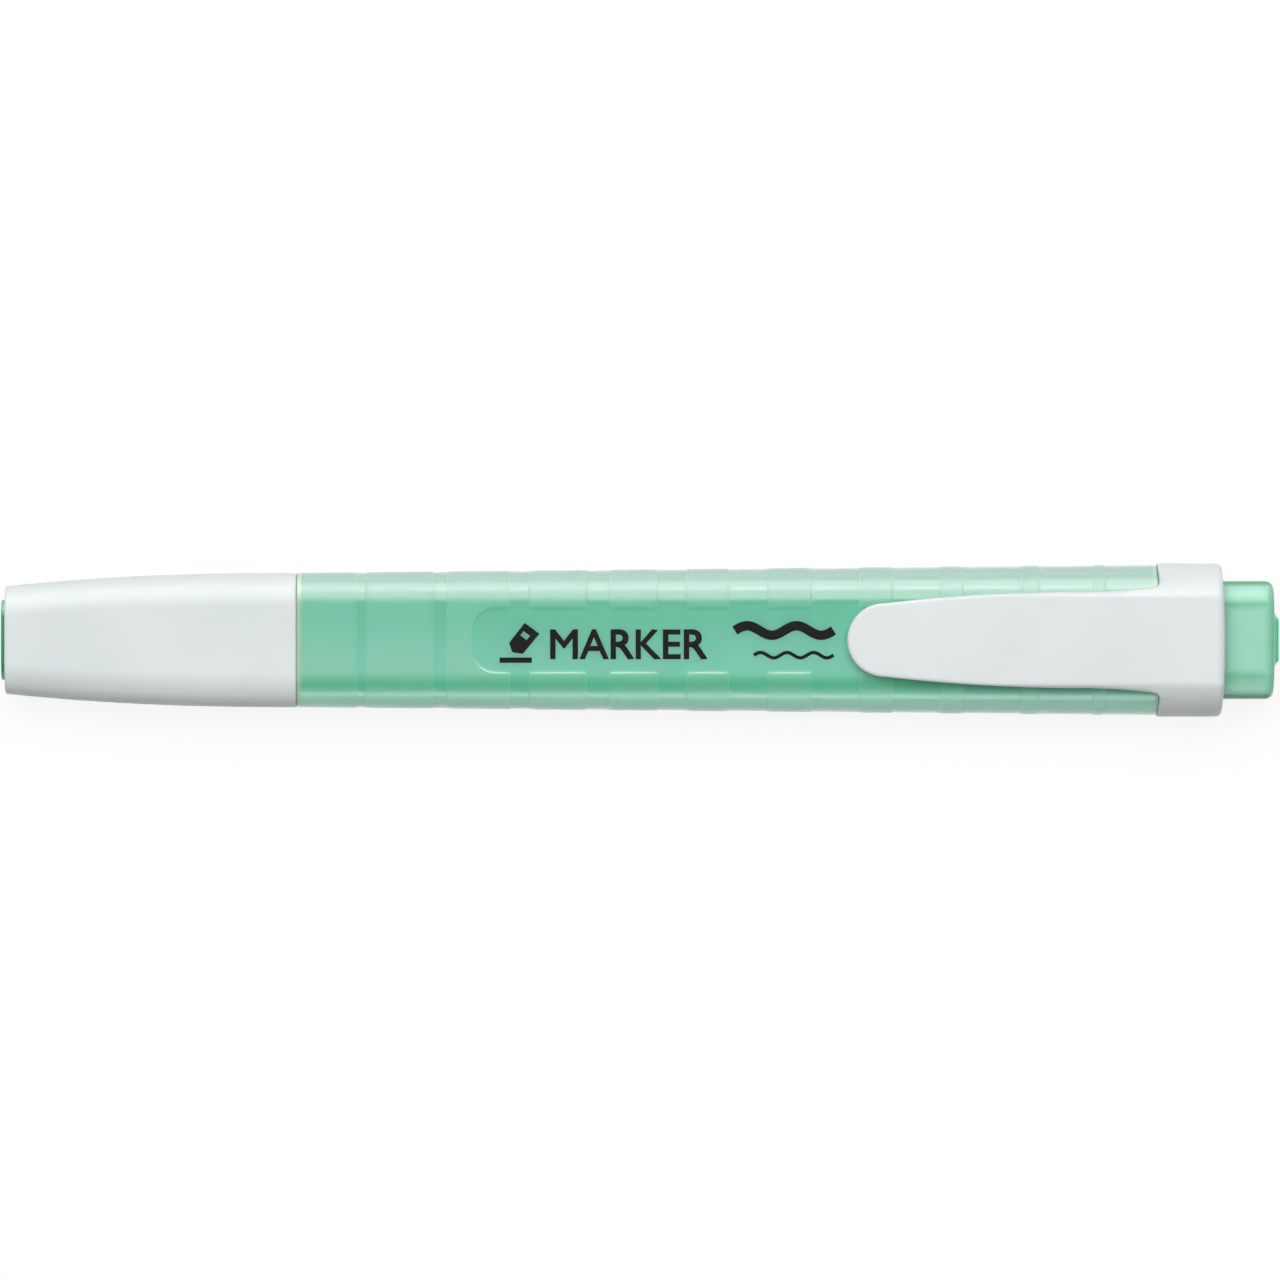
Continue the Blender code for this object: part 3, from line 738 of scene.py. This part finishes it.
def make_barrel(material):
    """The banded shell, a neck at each end and the bore, as one skin with its grip values."""
    neck = inset(barrel_outline(SHOULDER), FRONT_NECK_INSET)
    rear_neck = rounded(REAR_NECK)
    rings, values = [], []

    def take(more, heights=None):
        for number, points in enumerate(more):
            rings.append(points)
            height = heights[number] if heights is not None else 0.0
            values.append(grip_values(points[:, 0].mean(), height))

    take(rounded_end(barrel_low[0], neck, FRONT_NECK_ROUND, 1))
    take(bead(CAP_BEAD, neck, BEAD_HEIGHT))
    take([ring(SHOULDER, neck)])
    front = inset(barrel_outline(SHOULDER), BAND_RELIEF)
    take(rounded_end(SHOULDER, front, EDGE_ROUND, 1), np.linspace(0, 1, 6))
    for x in barrel_stations():
        points = inset(barrel_outline(x), BAND_RELIEF)
        take([ring(bow(x, points[:, 0]), points)], [band_height(x)])
    end = COLLAR_FRONT - SEAM
    last = inset(barrel_outline(end), BAND_RELIEF)
    for points in reversed(rounded_end(0, last, EDGE_ROUND, -1)):
        points[:, 0] += bow(end, points[:, 1])
        take([points])
    take([ring(bow(end, rear_neck[:, 0]), rear_neck)])
    take(bead(COLLAR_BEAD, rear_neck, BEAD_HEIGHT))
    take(reversed(rounded_end(barrel_high[0], rear_neck, REAR_NECK_ROUND, -1)))
    inner_neck = inset(rear_neck, REAR_NECK_WALL)
    bore = rounded(BARREL_BORE)
    front_wall, rear_wall = SHOULDER + 2.0, end - 2.5  # the even wall runs from one to the other
    take([ring(barrel_high[0], inner_neck), ring(end - 1.5, inner_neck)])
    take([ring(rear_wall, inset(barrel_outline(rear_wall), BARREL_WALL))])
    take([ring(front_wall, inset(barrel_outline(SHOULDER), BARREL_WALL))])
    take([ring(front_wall - 0.2, bore), ring(barrel_low[0], bore)])
    mesh = shell_mesh("barrel_skin", rings, joined=True, values=values)
    mesh = grown(mesh, band_tree(), Relief=BAND_RELIEF * MM, Material=material)
    piece("mint_barrel_shell", mesh, material, "pen", "barrel", "barrel", angle=60)


# Cap


def cap_outline(x):
    """The cap's outline: the barrel's at the mouth, drawn in on a long curve towards the end."""
    run = max(0.0, (cap_high[0] - x) / (cap_high[0] - cap_low[0]))
    share = run**CAP_CURVE
    half = blend_between(FRONT_HALF, CAP_END_HALF, share)
    thick = blend_between(HALF_THICK, CAP_END_THICK / 2, share)
    flat = blend_between(FRONT_FLAT, CAP_END_FLAT, share)
    return outline(half, AXIS - thick, AXIS + thick, flat, half - flat)


def cap_end(x, at, radius, inward, extra=0.0):
    """Rings round the edge of a face of the cap, on the cap's own outline taken in by extra."""
    return rounded_end(x, inset(cap_outline(at), extra), radius, inward)


def make_cap(material):
    """The outer cap: a tapered cup with an opening for the button in its end and a snap groove inside."""
    floor = cap_low[0] + CAP_WALL
    window = rounded(with_play(BUTTON, BUTTON_PLAY, BUTTON_PLAY / 2))
    rings = cap_end(cap_low[0], cap_low[0] + CAP_ROUND, CAP_ROUND, 1)
    rings += [ring(x, cap_outline(x)) for x in np.arange(cap_low[0] + 0.8, cap_high[0] - 0.6, 0.8)]
    rings += reversed(cap_end(cap_high[0], cap_high[0], CAP_ROUND, -1))
    rings += cap_end(cap_high[0], cap_high[0], 0.2, -1, CAP_WALL - 0.2)[:1]
    rings += [ring(cap_high[0] - 0.3, inset(cap_outline(cap_high[0]), CAP_WALL))]
    rings += reversed(bead(CAP_BEAD, inset(cap_outline(CAP_BEAD), CAP_WALL), -BEAD_HEIGHT))
    for x in np.arange(CAP_BEAD - 1.5, floor + 0.6, -1.6):
        rings.append(ring(x, inset(cap_outline(x), CAP_WALL)))
    rings += [ring(floor, inset(cap_outline(floor), CAP_WALL + 0.2))]
    rings += [ring(floor, window), ring(cap_low[0] + 0.1, window), ring(cap_low[0], inset(window, -0.1))]
    mesh = shell_mesh("cap_skin", rings, joined=True)
    piece("white_cap_shell", mesh, material, "cap", "cap", "cap_shell")


def make_liner(material):
    """The inner cap: a cup with a sealing ring at its mouth, and the button that shows in the cap's end."""
    floor = cap_low[0] + LINER_INSET
    inner = LINER_INSET + LINER_WALL
    seal = rounded(with_play(NOZZLE, SEAL_PLAY))
    button = rounded(BUTTON)
    mouth = liner_high[0]
    bottom = floor + LINER_WALL
    rings = [ring(bottom, inset(cap_outline(bottom), inner + LINER_CORNER))]
    rings += [ring(x, inset(cap_outline(x), inner)) for x in np.arange(bottom + 0.3, mouth - 3.2, 1.2)]
    rings += [ring(mouth - 1.9, seal), ring(mouth - 0.25, seal), ring(mouth, inset(seal, -0.25))]
    rim = inset(cap_outline(mouth), LINER_INSET)
    rings += rounded_end(mouth, rim, 0.2, -1)
    rings += [ring(x, inset(cap_outline(x), LINER_INSET)) for x in np.arange(mouth - 1.0, floor + 0.4, -1.2)]
    rings += [ring(floor, inset(cap_outline(floor), LINER_INSET + LINER_CORNER)), ring(floor, button)]
    rings += reversed(rounded_end(liner_low[0], button, BUTTON_ROUND, 1))
    mesh = shell_mesh("liner_skin", rings)
    piece("green_inner_cap", mesh, material, "cap", "cap_liner", "cap_liner")


# Collar and clip, one moulding


def raised_drop(y):
    """How far the collar's raised front has fallen at y: a slight dome, then the sloping flank."""
    y = abs(y)
    dome = FRONT_CROWN * (min(y, COLLAR_FLAT) / COLLAR_FLAT) ** 2
    if y <= COLLAR_FLAT:
        return dome
    width = COLLAR_HALF - COLLAR_FLAT
    radius = (width**2 + COLLAR_FLANK**2) / (2 * width)
    angle = math.asin(min(1.0, (y - COLLAR_HALF + radius) / radius))
    return dome + (COLLAR_FLANK - dome) / COLLAR_FLANK * (COLLAR_FLANK - radius * math.cos(angle))


def arm_half(x):
    """Half the arm's width: an elliptical tip, a slow widening, a flare and a fillet at the collar."""
    tip_end = CLIP_TIP + CLIP_TIP_LENGTH
    if x < tip_end:
        return CLIP_TIP_HALF * math.sqrt(max(0.0, 1 - ((tip_end - x) / CLIP_TIP_LENGTH) ** 2))
    narrowing = max(0.0, (CLIP_WAIST - x) / (CLIP_WAIST - tip_end))
    flare = max(0.0, (x - CLIP_WAIST) / (COLLAR_FRONT - CLIP_WAIST))
    fillet = max(0.0, x - COLLAR_FRONT + CLIP_FILLET)
    corner = CLIP_FILLET - math.sqrt(max(0.0, CLIP_FILLET**2 - fillet**2))
    return blend_between(CLIP_WAIST_HALF, CLIP_TIP_HALF, narrowing**2) + CLIP_FLARE * flare**2 + corner


def arm_top(x, y):
    """Height of the arm's upper face: level with the collar, bent down towards the tip."""
    bend = max(0.0, 1 - (x - CLIP_TIP) / CLIP_BEND_LENGTH)
    return COLLAR_TOP - CLIP_BEND * bend**2 - raised_drop(y)


def arm_bottom(x, y):
    """Height of the arm's underside, with the grip bump near the tip. It is level across the arm."""
    bend = max(0.0, 1 - (x - CLIP_TIP) / CLIP_BEND_LENGTH)
    bump = GRIP_BUMP * math.exp(-(((x - GRIP_BUMP_AT) / GRIP_BUMP_SPREAD) ** 2))
    return min(arm_top(x, 0) - CLIP_THICK + CLIP_THINNING * bend - bump, arm_top(x, y) - 0.05)


def arm_plan():
    """(x, y) points round the arm as seen from above, from the collar to the tip and back."""
    fillet = [COLLAR_FRONT - CLIP_FILLET * math.sin(math.pi / 2 * step / 6) for step in range(7)]
    tip_end = CLIP_TIP + CLIP_TIP_LENGTH
    straight = list(np.linspace(COLLAR_FRONT - CLIP_FILLET, tip_end, 44))[1:]
    tip = [tip_end - CLIP_TIP_LENGTH * math.sin(math.pi / 2 * step / 18) for step in range(1, 18)]
    side = np.array([(x, arm_half(x)) for x in fillet + straight + tip])
    return np.vstack([side, [(CLIP_TIP, 0.0)], (side * (1, -1))[::-1]])


def arm_row(half):
    """y values across half the arm, from its middle to half, with the collar's crease among them."""
    crease = min(COLLAR_FLAT, half)
    flat = list(np.linspace(0, crease, FRONT_STEPS + 1))
    return flat + list(np.linspace(crease, half, ARM_SIDE_STEPS + 1))[1:]


def collar_outline():
    """The collar's outline, with the arm's row of points along its raised front."""
    root = arm_row(arm_half(COLLAR_FRONT))
    half = [(y, COLLAR_TOP - raised_drop(y)) for y in root]
    start = math.asin(root[-1] / COLLAR_HALF)
    rest = FLANK_STEPS - ARM_SIDE_STEPS
    for step in range(1, rest + 1):
        y = COLLAR_HALF * math.sin(blend_between(start, math.pi / 2, step / rest))
        half.append((y, COLLAR_TOP - raised_drop(y)))
    rise = (COLLAR_HALF - REAR_FLAT) * REAR_CREASE
    half += [(y, drop) for y, drop in reversed(flank(REAR_FLAT, COLLAR_HALF, rise))]
    half += [(y, 0.0) for y in np.linspace(REAR_FLAT, 0, BACK_STEPS + 1)[1:]]
    return np.array(half + [(-y, z) for y, z in half[-2:0:-1]])


class Moulding:
    """A bmesh in millimetres, built from lines of points with faces between them."""

    def __init__(self):
        self.shape = bmesh.new()

    def line(self, places):
        return [self.shape.verts.new((x * MM, y * MM, z * MM)) for x, y, z in places]

    def bridge(self, here, there, closed=False):
        for i in range(0 if closed else 1, len(here)):
            self.shape.faces.new((here[i - 1], here[i], there[i], there[i - 1]))


def add_arm(moulding):
    """The arm: bands of faces round its edge, then rows across its top and its underside."""
    plan = arm_plan()
    run = np.gradient(plan, axis=0)
    outward = np.stack([run[:, 1], -run[:, 0]], axis=1)
    outward /= np.linalg.norm(outward, axis=1, keepdims=True)
    outward[0], outward[-1] = (0, 1), (0, -1)
    fade = np.clip((COLLAR_FRONT - plan[:, 0]) / CLIP_EDGE_FADE, 0, 1)[:, None]
    levels = []
    for step in range(EDGE_STEPS + 1):
        angle = math.pi / 2 * step / EDGE_STEPS
        place = plan - outward * fade * CLIP_EDGE * (1 - math.sin(angle))
        fall = fade[:, 0] * CLIP_EDGE * (1 - math.cos(angle))
        levels.append((place, [arm_top(x, y) - drop for (x, y), drop in zip(place, fall)]))
    for taken, lift in ((0.0, CLIP_UNDER_EDGE), (CLIP_UNDER_EDGE, 0.0)):
        place = plan - outward * fade * taken
        levels.append((place, [arm_bottom(x, y) + lift * f for (x, y), f in zip(place, fade[:, 0])]))
    loops = []
    for place, heights in levels:
        loops.append(moulding.line([(bow(x, y), y, z) for (x, y), z in zip(place, heights)]))
    for here, there in zip(loops, loops[1:]):
        moulding.bridge(here, there)
    for face, height in ((0, arm_top), (-1, arm_bottom)):
        place, loop = levels[face][0], loops[face]
        rows = []
        for i in range(len(plan) // 2):
            x, half = place[i]
            across = arm_row(half)
            inner = [-y for y in across[-2:0:-1]] + across[:-1]
            row = moulding.line([(bow(x, y), y, height(x, y)) for y in inner])
            rows.append([loop[-1 - i], *row, loop[i]])
        for here, there in zip(rows, rows[1:]):
            moulding.bridge(here, there)
        for i in range(1, len(rows[-1])):
            moulding.shape.faces.new((rows[-1][i - 1], rows[-1][i], loop[len(plan) // 2]))


def add_collar(moulding):
    """The collar: a short round at its front edge beside the arm, a large one at its rear, and the bore."""
    base = collar_outline()
    arm_points = FRONT_STEPS + ARM_SIDE_STEPS
    beside = np.ones(len(base))
    beside[:arm_points + 1] = 0
    beside[-arm_points:] = 0
    beside[arm_points + 1] = beside[-arm_points - 1] = 0.5
    rings = []
    for step in range(EDGE_STEPS + 1):
        angle = math.pi / 2 * step / EDGE_STEPS
        taken = inset(base, EDGE_ROUND * beside * (1 - math.sin(angle)))
        rings.append(ring(bow(COLLAR_FRONT, base[:, 0]) + EDGE_ROUND * beside * (1 - math.cos(angle)), taken))
    for share in (0.25, 0.5, 0.75):
        x = blend_between(COLLAR_FRONT, collar_high[0] - COLLAR_ROUND, share)
        rings.append(ring(x - COLLAR_BOW * (1 - share) ** 2 * (base[:, 0] / COLLAR_HALF) ** 2, base))
    for step in range(9):
        angle = math.pi / 2 * step / 8
        taken = inset(base, COLLAR_ROUND * (1 - math.cos(angle)))
        x = collar_high[0] - COLLAR_ROUND * (1 - math.sin(angle))
        rings.append(ring(x - COLLAR_CROWN * (step / 8) ** 2 * (taken[:, 0] / COLLAR_HALF) ** 2, taken))
    bore = rounded(with_play(REAR_NECK, 0.1))
    rings.append(ring(collar_high[0] - COLLAR_CROWN / 2, bore))
    rings.append(ring(bow(COLLAR_FRONT, bore[:, 0]), bore))
    loops = [moulding.line(points) for points in rings]
    for here, there in zip(loops, loops[1:]):
        moulding.bridge(here, there, True)


def add_pocket(moulding):
    """A pocket in the collar's front, in line with the gap under the arm."""
    low, high = 2 * HALF_THICK + 0.1, COLLAR_TOP - CLIP_THICK - 0.1
    corners = [(-POCKET_HALF, low), (POCKET_HALF, low), (POCKET_HALF, high), (-POCKET_HALF, high)]
    mouth = moulding.line([(bow(COLLAR_FRONT, y), y, z) for y, z in corners])
    floor = moulding.line([(COLLAR_FRONT + POCKET_DEPTH, y, z) for y, z in corners])
    moulding.bridge(mouth, floor, True)
    moulding.shape.faces.new(floor)


def make_clip(material):
    """Collar and clip arm as one moulding."""
    moulding = Moulding()
    add_arm(moulding)
    add_collar(moulding)
    add_pocket(moulding)
    # What is still open is the outline of the collar's front face, with the bore and the pocket in it.
    bmesh.ops.remove_doubles(moulding.shape, verts=moulding.shape.verts, dist=0.002 * MM)
    rim = [edge for edge in moulding.shape.edges if edge.is_boundary]
    bmesh.ops.triangle_fill(moulding.shape, use_beauty=True, use_dissolve=False, edges=rim, normal=(-1, 0, 0))
    mesh = closed_mesh("clip_skin", moulding.shape)
    clip = piece("white_collar_and_clip", mesh, material, None, "clip", "clip_collar", "clip_arm")
    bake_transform(clip)


# Tail plug, nib holder and nib


def make_tail(material):
    """A hollow skirt inside the rear neck, a head behind it and a low boss on its end."""
    head = rounded(REAR_NECK)
    skirt = inset(head, SKIRT_INSET)
    hollow, skirt_bore = inset(head, HEAD_WALL), inset(skirt, SKIRT_WALL)
    face = tail_high[0] - BOSS_HEIGHT
    neck_end = barrel_high[0]
    rings = [ring(face - HEAD_WALL, hollow), ring(neck_end + 1.5, hollow)]
    rings += [ring(neck_end + 0.2, skirt_bore), ring(tail_low[0], skirt_bore)]
    rings += rounded_end(tail_low[0], skirt, 0.3, 1)
    rings += [ring(x, skirt) for x in (neck_end - SKIRT_LENGTH, neck_end + HEAD_GAP)]
    rings += rounded_end(neck_end + HEAD_GAP, head, HEAD_GAP, 1)
    rings += [ring(x, head) for x in np.arange(neck_end + 0.8, face - TAIL_ROUND - 0.3, 0.6)]
    for points in reversed(rounded_end(0, head, TAIL_ROUND, -1, 8)):
        points[:, 0] += face - TAIL_CROWN * (points[:, 1] / head[:, 0].max()) ** 2
        rings.append(points)
    boss, boss_end = rounded(BOSS), rounded(BOSS_END)
    rings += [ring(face, inset(boss, -0.25)), ring(face + 0.04, inset(boss, -0.08))]
    for share in (0.0, 0.5, 1.0):
        x = blend_between(face + 0.06, tail_high[0] - 0.14, share)
        rings.append(ring(x, blend_between(boss, boss_end, share)))
    rings += reversed(rounded_end(tail_high[0], boss_end, 0.12, -1, 3))
    mesh = shell_mesh("tail_skin", rings)
    piece("mint_tail_plug", mesh, material, "pen", "tail_plug", "tail_plug", angle=40)


def vent_points(outer, station):
    """A mesh of loose points on an outline, one for each vent rib."""
    length = np.linalg.norm(np.roll(outer, -1, axis=0) - outer, axis=1)
    walked = np.concatenate([[0], np.cumsum(length)])
    closed = np.vstack([outer, outer[:1]])
    places = np.linspace(0, walked[-1], VENT_COUNT, endpoint=False)
    y, z = (np.interp(places, walked, closed[:, i]) for i in (0, 1))
    mesh = bpy.data.meshes.new("vent_points")
    mesh.from_pydata([(station * MM, a * MM, b * MM) for a, b in zip(y, z)], [], [])
    return mesh


def make_holder(material):
    """Nozzle, flange and plug in one, with the nib's socket through it and vent ribs round the nozzle."""
    socket = rounded(with_play(NIB, NIB_PLAY, 0.05))
    lip, nozzle = rounded(NOZZLE_LIP), rounded(NOZZLE)
    flange = inset(barrel_outline(SHOULDER), FRONT_NECK_INSET + 0.3)
    plug = rounded(HOLDER_BORE)
    front, rear = holder_low[0], holder_high[0]
    step = barrel_low[0] - FLANGE_DEPTH
    rings = [ring(front + 0.25, socket), ring(front, inset(socket, -0.15))]
    rings += rounded_end(front, lip, 0.35, 1)
    for share in np.linspace(0.05, 1, 12):
        x = blend_between(front + 0.6, step - 0.5, share)
        rings.append(ring(x, blend_between(lip, nozzle, share**NOZZLE_SWELL)))
    rings += [ring(step - 0.2, inset(nozzle, -0.08)), ring(step, inset(nozzle, -0.3))]
    rings += rounded_end(step, flange, 0.2, 1)
    rings += reversed(rounded_end(barrel_low[0] - SEAM, flange, 0.1, -1))
    rings += [ring(barrel_low[0] - SEAM, plug), ring(rear, plug), ring(rear, socket)]
    mesh = shell_mesh("holder_skin", rings, joined=True)
    piece("white_nib_holder", mesh, material, "pen", "nib_holder", "nib_holder")
    near = inset(blend_between(lip, nozzle, VENT_PLACE**NOZZLE_SWELL), 0.05)
    points = vent_points(near, blend_between(front, step, VENT_PLACE))
    ribs = grown(points, rib_tree(), Length=VENT_LENGTH * MM, Radius=VENT_RADIUS * MM, Sides=10,
                 Material=material)
    piece("nozzle_vent_ribs", ribs, material, "pen", "nib_holder", angle=50)


def make_nib(material):
    """A felt rod, cut slantwise to a chisel in front and tapered where it enters the reservoir."""
    width, thick, corner = NIB
    front = nib_low[0] + CHISEL_LEAN * width / 2
    shoulder = holder_low[0] - 1.3
    rings = []
    for share in np.linspace(0, 1, 15):
        x = blend_between(front, shoulder, share)
        height = blend_between(CHISEL_EDGE, thick, share)
        points = rounded((blend_between(width - 0.2, width, share), height, min(corner, height * 0.42)))
        lean = CHISEL_LEAN * (1 - share) ** 0.6
        rings.append(ring(x + lean * points[:, 0], points))
    first = rings[0].copy()
    soft = inset(first[:, 1:], 0.22)
    rings.insert(0, ring(front + CHISEL_LEAN * soft[:, 0] - 0.12, soft))
    rod = rounded(NIB)
    rings += [ring(x, rod) for x in np.linspace(shoulder + 0.5, nib_high[0] - 2, 24)]
    rings += [ring(nib_high[0], rounded(NIB_TAIL))]
    piece("chisel_nib", shell_mesh("nib_skin", rings), material, "pen", "nib", "nib", angle=50)


# Print on the barrel's panel


def panel_height():
    """Height of the printing panel's face, which the ink lies on."""
    return AXIS + HALF_THICK - BAND_RELIEF


def printed(name, mesh, material, weight=0.0):
    """Lays a flat mesh, drawn in millimetres, on the panel as ink, grown sideways by the weight."""
    for vert in mesh.vertices:
        x, y, z = vert.co
        vert.co = (x * MM, y * MM, (panel_height() + z - INK_SUNK) * MM)
    shape = bmesh.new()
    shape.from_mesh(mesh)
    bmesh.ops.remove_doubles(shape, verts=shape.verts, dist=0.0005 * MM)
    shape.normal_update()
    for vert, normal in [(vert, vert.normal.copy()) for vert in shape.verts]:
        vert.co += Vector((normal.x, normal.y, 0)).normalized() * weight * MM
    piece(name, closed_mesh(name, shape), material, "pen", "barrel", angle=30)


def outline_mesh(name, outlines):
    """A flat plate of the given (x, y) outlines. An outline inside another is a hole."""
    curve = bpy.data.curves.new(name, "CURVE")
    curve.dimensions, curve.fill_mode, curve.extrude = "2D", "BOTH", INK_DEPTH / 2
    for points in outlines:
        spline = curve.splines.new("POLY")
        spline.points.add(len(points) - 1)
        for point, (x, y) in zip(spline.points, points):
            point.co = (x, y, 0, 1)
        spline.use_cyclic_u = True
    return curve_mesh(name, curve)


def curve_mesh(name, curve):
    holder = bpy.data.objects.new(name, curve)
    bpy.context.scene.collection.objects.link(holder)
    depsgraph = bpy.context.evaluated_depsgraph_get()
    mesh = bpy.data.meshes.new_from_object(holder.evaluated_get(depsgraph))
    bpy.data.objects.remove(holder)
    return mesh


def word_mesh(word, left, right, middle):
    """A word between left and right, centred in height on middle."""
    curve = bpy.data.curves.new(word, "FONT")
    curve.body, curve.size, curve.extrude = word, 3.0, INK_DEPTH / 2
    mesh = curve_mesh(word, curve)
    places = np.array([vert.co for vert in mesh.vertices])
    low, high = places.min(axis=0), places.max(axis=0)
    scale = (right - left) / (high[0] - low[0])
    for vert in mesh.vertices:
        vert.co.x = left + (vert.co.x - low[0]) * scale
        vert.co.y = middle + (vert.co.y - (low[1] + high[1]) / 2) * scale
    return mesh


def nib_glyph():
    """A chisel nib drawing a line: a slanted rod with a cut end, and a bar under it."""
    x, y = GLYPH_PLACE
    rod = [(0.55, 2.1), (2.1, 0.95), (0.35, -1.15), (-0.75, -1.0), (-1.1, 0.0)]
    bar = [(-2.1, -1.55), (1.3, -1.55), (1.3, -2.1), (-2.1, -2.1)]
    slit = [(0.42, 1.25), (1.1, 0.75), (0.75, 0.3), (0.07, 0.8)]
    return outline_mesh("nib_glyph", [[(x + a, y + b) for a, b in part] for part in (rod, slit, bar)])


def wave(left, right, middle, height, count):
    """A line of points in waves, from left to right."""
    mesh = bpy.data.meshes.new("wave")
    places = []
    for share in np.linspace(0, 1, 90):
        y = middle + height * math.sin(share * count * 2 * math.pi)
        places.append((blend_between(left, right, share), y, 0))
    mesh.from_pydata(places, [(i, i + 1) for i in range(len(places) - 1)], [])
    return mesh


def make_print(material):
    printed("print_nib_glyph", nib_glyph(), material)
    printed("print_word", word_mesh(WORD, *WORD_PLACE), material, WORD_WEIGHT)
    tree = stroke_tree()
    for name, (left, right, middle, height, count, width) in STROKES.items():
        line = wave(left, right, middle, height, count)
        stroke = grown(line, tree, Width=width, Depth=INK_DEPTH, Material=material)
        printed(name, stroke, material)


# Floor, light and camera


def make_stage():
    """A large pale floor, level with the pen's back."""
    mesh = bpy.data.meshes.new("floor")
    side = FLOOR_SIZE / 2
    corners = [(-side, -side, 0), (side, -side, 0), (side, side, 0), (-side, side, 0)]
    mesh.from_pydata(corners, [], [(0, 1, 2, 3)])
    floor = bpy.data.objects.new("floor", mesh)
    look = Finish("pale_floor", 0.9, Specular_IOR_Level=0.0, Emission_Color=(1, 1, 1, 1))
    # The floor looks pale and is mirrored so, but throws little light back: the pen's flanks stay shaded.
    seen = look.node("LightPath", output="Is Camera Ray")
    card = look.ramp(look.axis("Y"), CARD_EDGE[0] * MM, CARD_EDGE[1] * MM, *FLOOR_SHEEN)
    mirrored = look.times(look.node("LightPath", output="Is Glossy Ray"), card)
    colour = look.mix(seen, (*[FLOOR_BOUNCE] * 3, 1), (*[FLOOR_BASE] * 3, 1))
    glow = look.plus(look.times(seen, FLOOR_GLOW), mirrored)
    mesh.materials.append(look.set(Base_Color=colour, Emission_Strength=glow))
    bpy.context.scene.collection.objects.link(floor)


def make_world():
    """A studio, pale at the horizon and overhead, darker between, brighter at +Y, on a white backdrop."""
    world = bpy.data.worlds.new("studio")
    bpy.context.scene.world = world
    world.use_nodes = True
    tree = world.node_tree
    direction = add(tree, "ShaderNodeTexCoord").outputs["Generated"]
    split = add(tree, "ShaderNodeSeparateXYZ", {0: direction})
    ramp = add(tree, "ShaderNodeValToRGB", {0: split.outputs["Z"]})
    ramp.color_ramp.interpolation = "EASE"
    stops = ramp.color_ramp.elements
    for element, (place, grey) in zip(stops, (SKY[0], SKY[-1])):
        element.position, element.color = place, (grey, grey, grey, 1)
    for place, grey in SKY[1:-1]:
        stops.new(place).color = (grey, grey, grey, 1)
    low, high = (SKY_STRENGTH * side for side in SKY_SIDES)
    sides = add(tree, "ShaderNodeMapRange", {0: split.outputs["Y"], 1: -1, 2: 1, 3: low, 4: high})
    sky = tree.nodes["Background"]
    tree.links.new(ramp.outputs[0], sky.inputs["Color"])
    tree.links.new(sides.outputs[0], sky.inputs["Strength"])
    backdrop = add(tree, "ShaderNodeBackground", {"Color": (1, 1, 1, 1), "Strength": BACKDROP})
    camera_ray = add(tree, "ShaderNodeLightPath").outputs["Is Camera Ray"]
    shown = add(tree, "ShaderNodeMixShader", {0: camera_ray, 1: sky.outputs[0], 2: backdrop.outputs[0]})
    tree.links.new(shown.outputs[0], tree.nodes["World Output"].inputs["Surface"])


def softbox(name, place, size, power, mirrored):
    """A rectangular light, turned to the pen, which lights it or is only mirrored in it."""
    light = bpy.data.lights.new(name, "AREA")
    light.shape, light.size, light.size_y, light.energy = "RECTANGLE", *size, power
    lamp = bpy.data.objects.new(name, light)
    lamp.location = place
    lamp.rotation_euler = (-Vector(place)).to_track_quat("-Z", "Y").to_euler()
    lamp.visible_camera = False
    lamp.visible_diffuse = not mirrored
    lamp.visible_glossy = mirrored
    bpy.context.scene.collection.objects.link(lamp)


def make_camera():
    """Straight above the pen, from far enough for the pen to fill the frame's width at a long lens."""
    data = bpy.data.cameras.new("camera")
    data.lens, data.sensor_width = LENS, 36
    data.clip_start, data.clip_end = 0.05, 60
    camera = bpy.data.objects.new("camera", data)
    width = (tail_high[0] - liner_low[0]) * MM * FRAME_SHARE
    camera.location = (0, 0, AXIS * MM + width * data.lens / data.sensor_width)
    bpy.context.scene.collection.objects.link(camera)
    bpy.context.scene.camera = camera


def main():
    scene = bpy.context.scene
    scene.view_settings.view_transform = "Standard"
    make_stage()
    make_world()
    for box in SOFTBOXES:
        softbox(*box)
    make_camera()

    cap_white = white_plastic("white_cap_plastic", rgb(232, 238, 238), rgb(226, 233, 233), 0.34)
    clip_white = white_plastic("white_clip_plastic", rgb(235, 240, 241), rgb(230, 235, 236), 0.36)
    holder_white = white_plastic("white_holder_plastic", rgb(236, 240, 238), rgb(224, 232, 229), 0.34)
    make_barrel(barrel_plastic())
    make_cap(cap_white)
    make_liner(liner_plastic())
    make_clip(clip_white)
    make_tail(tail_plastic())
    make_holder(holder_white)
    make_nib(inked_felt())
    make_print(print_ink())
    for node, material in (("reservoir_core", fibre_core()), ("reservoir_wrap", clear_film())):
        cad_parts[node].data.materials.clear()
        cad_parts[node].data.materials.append(material)


main()
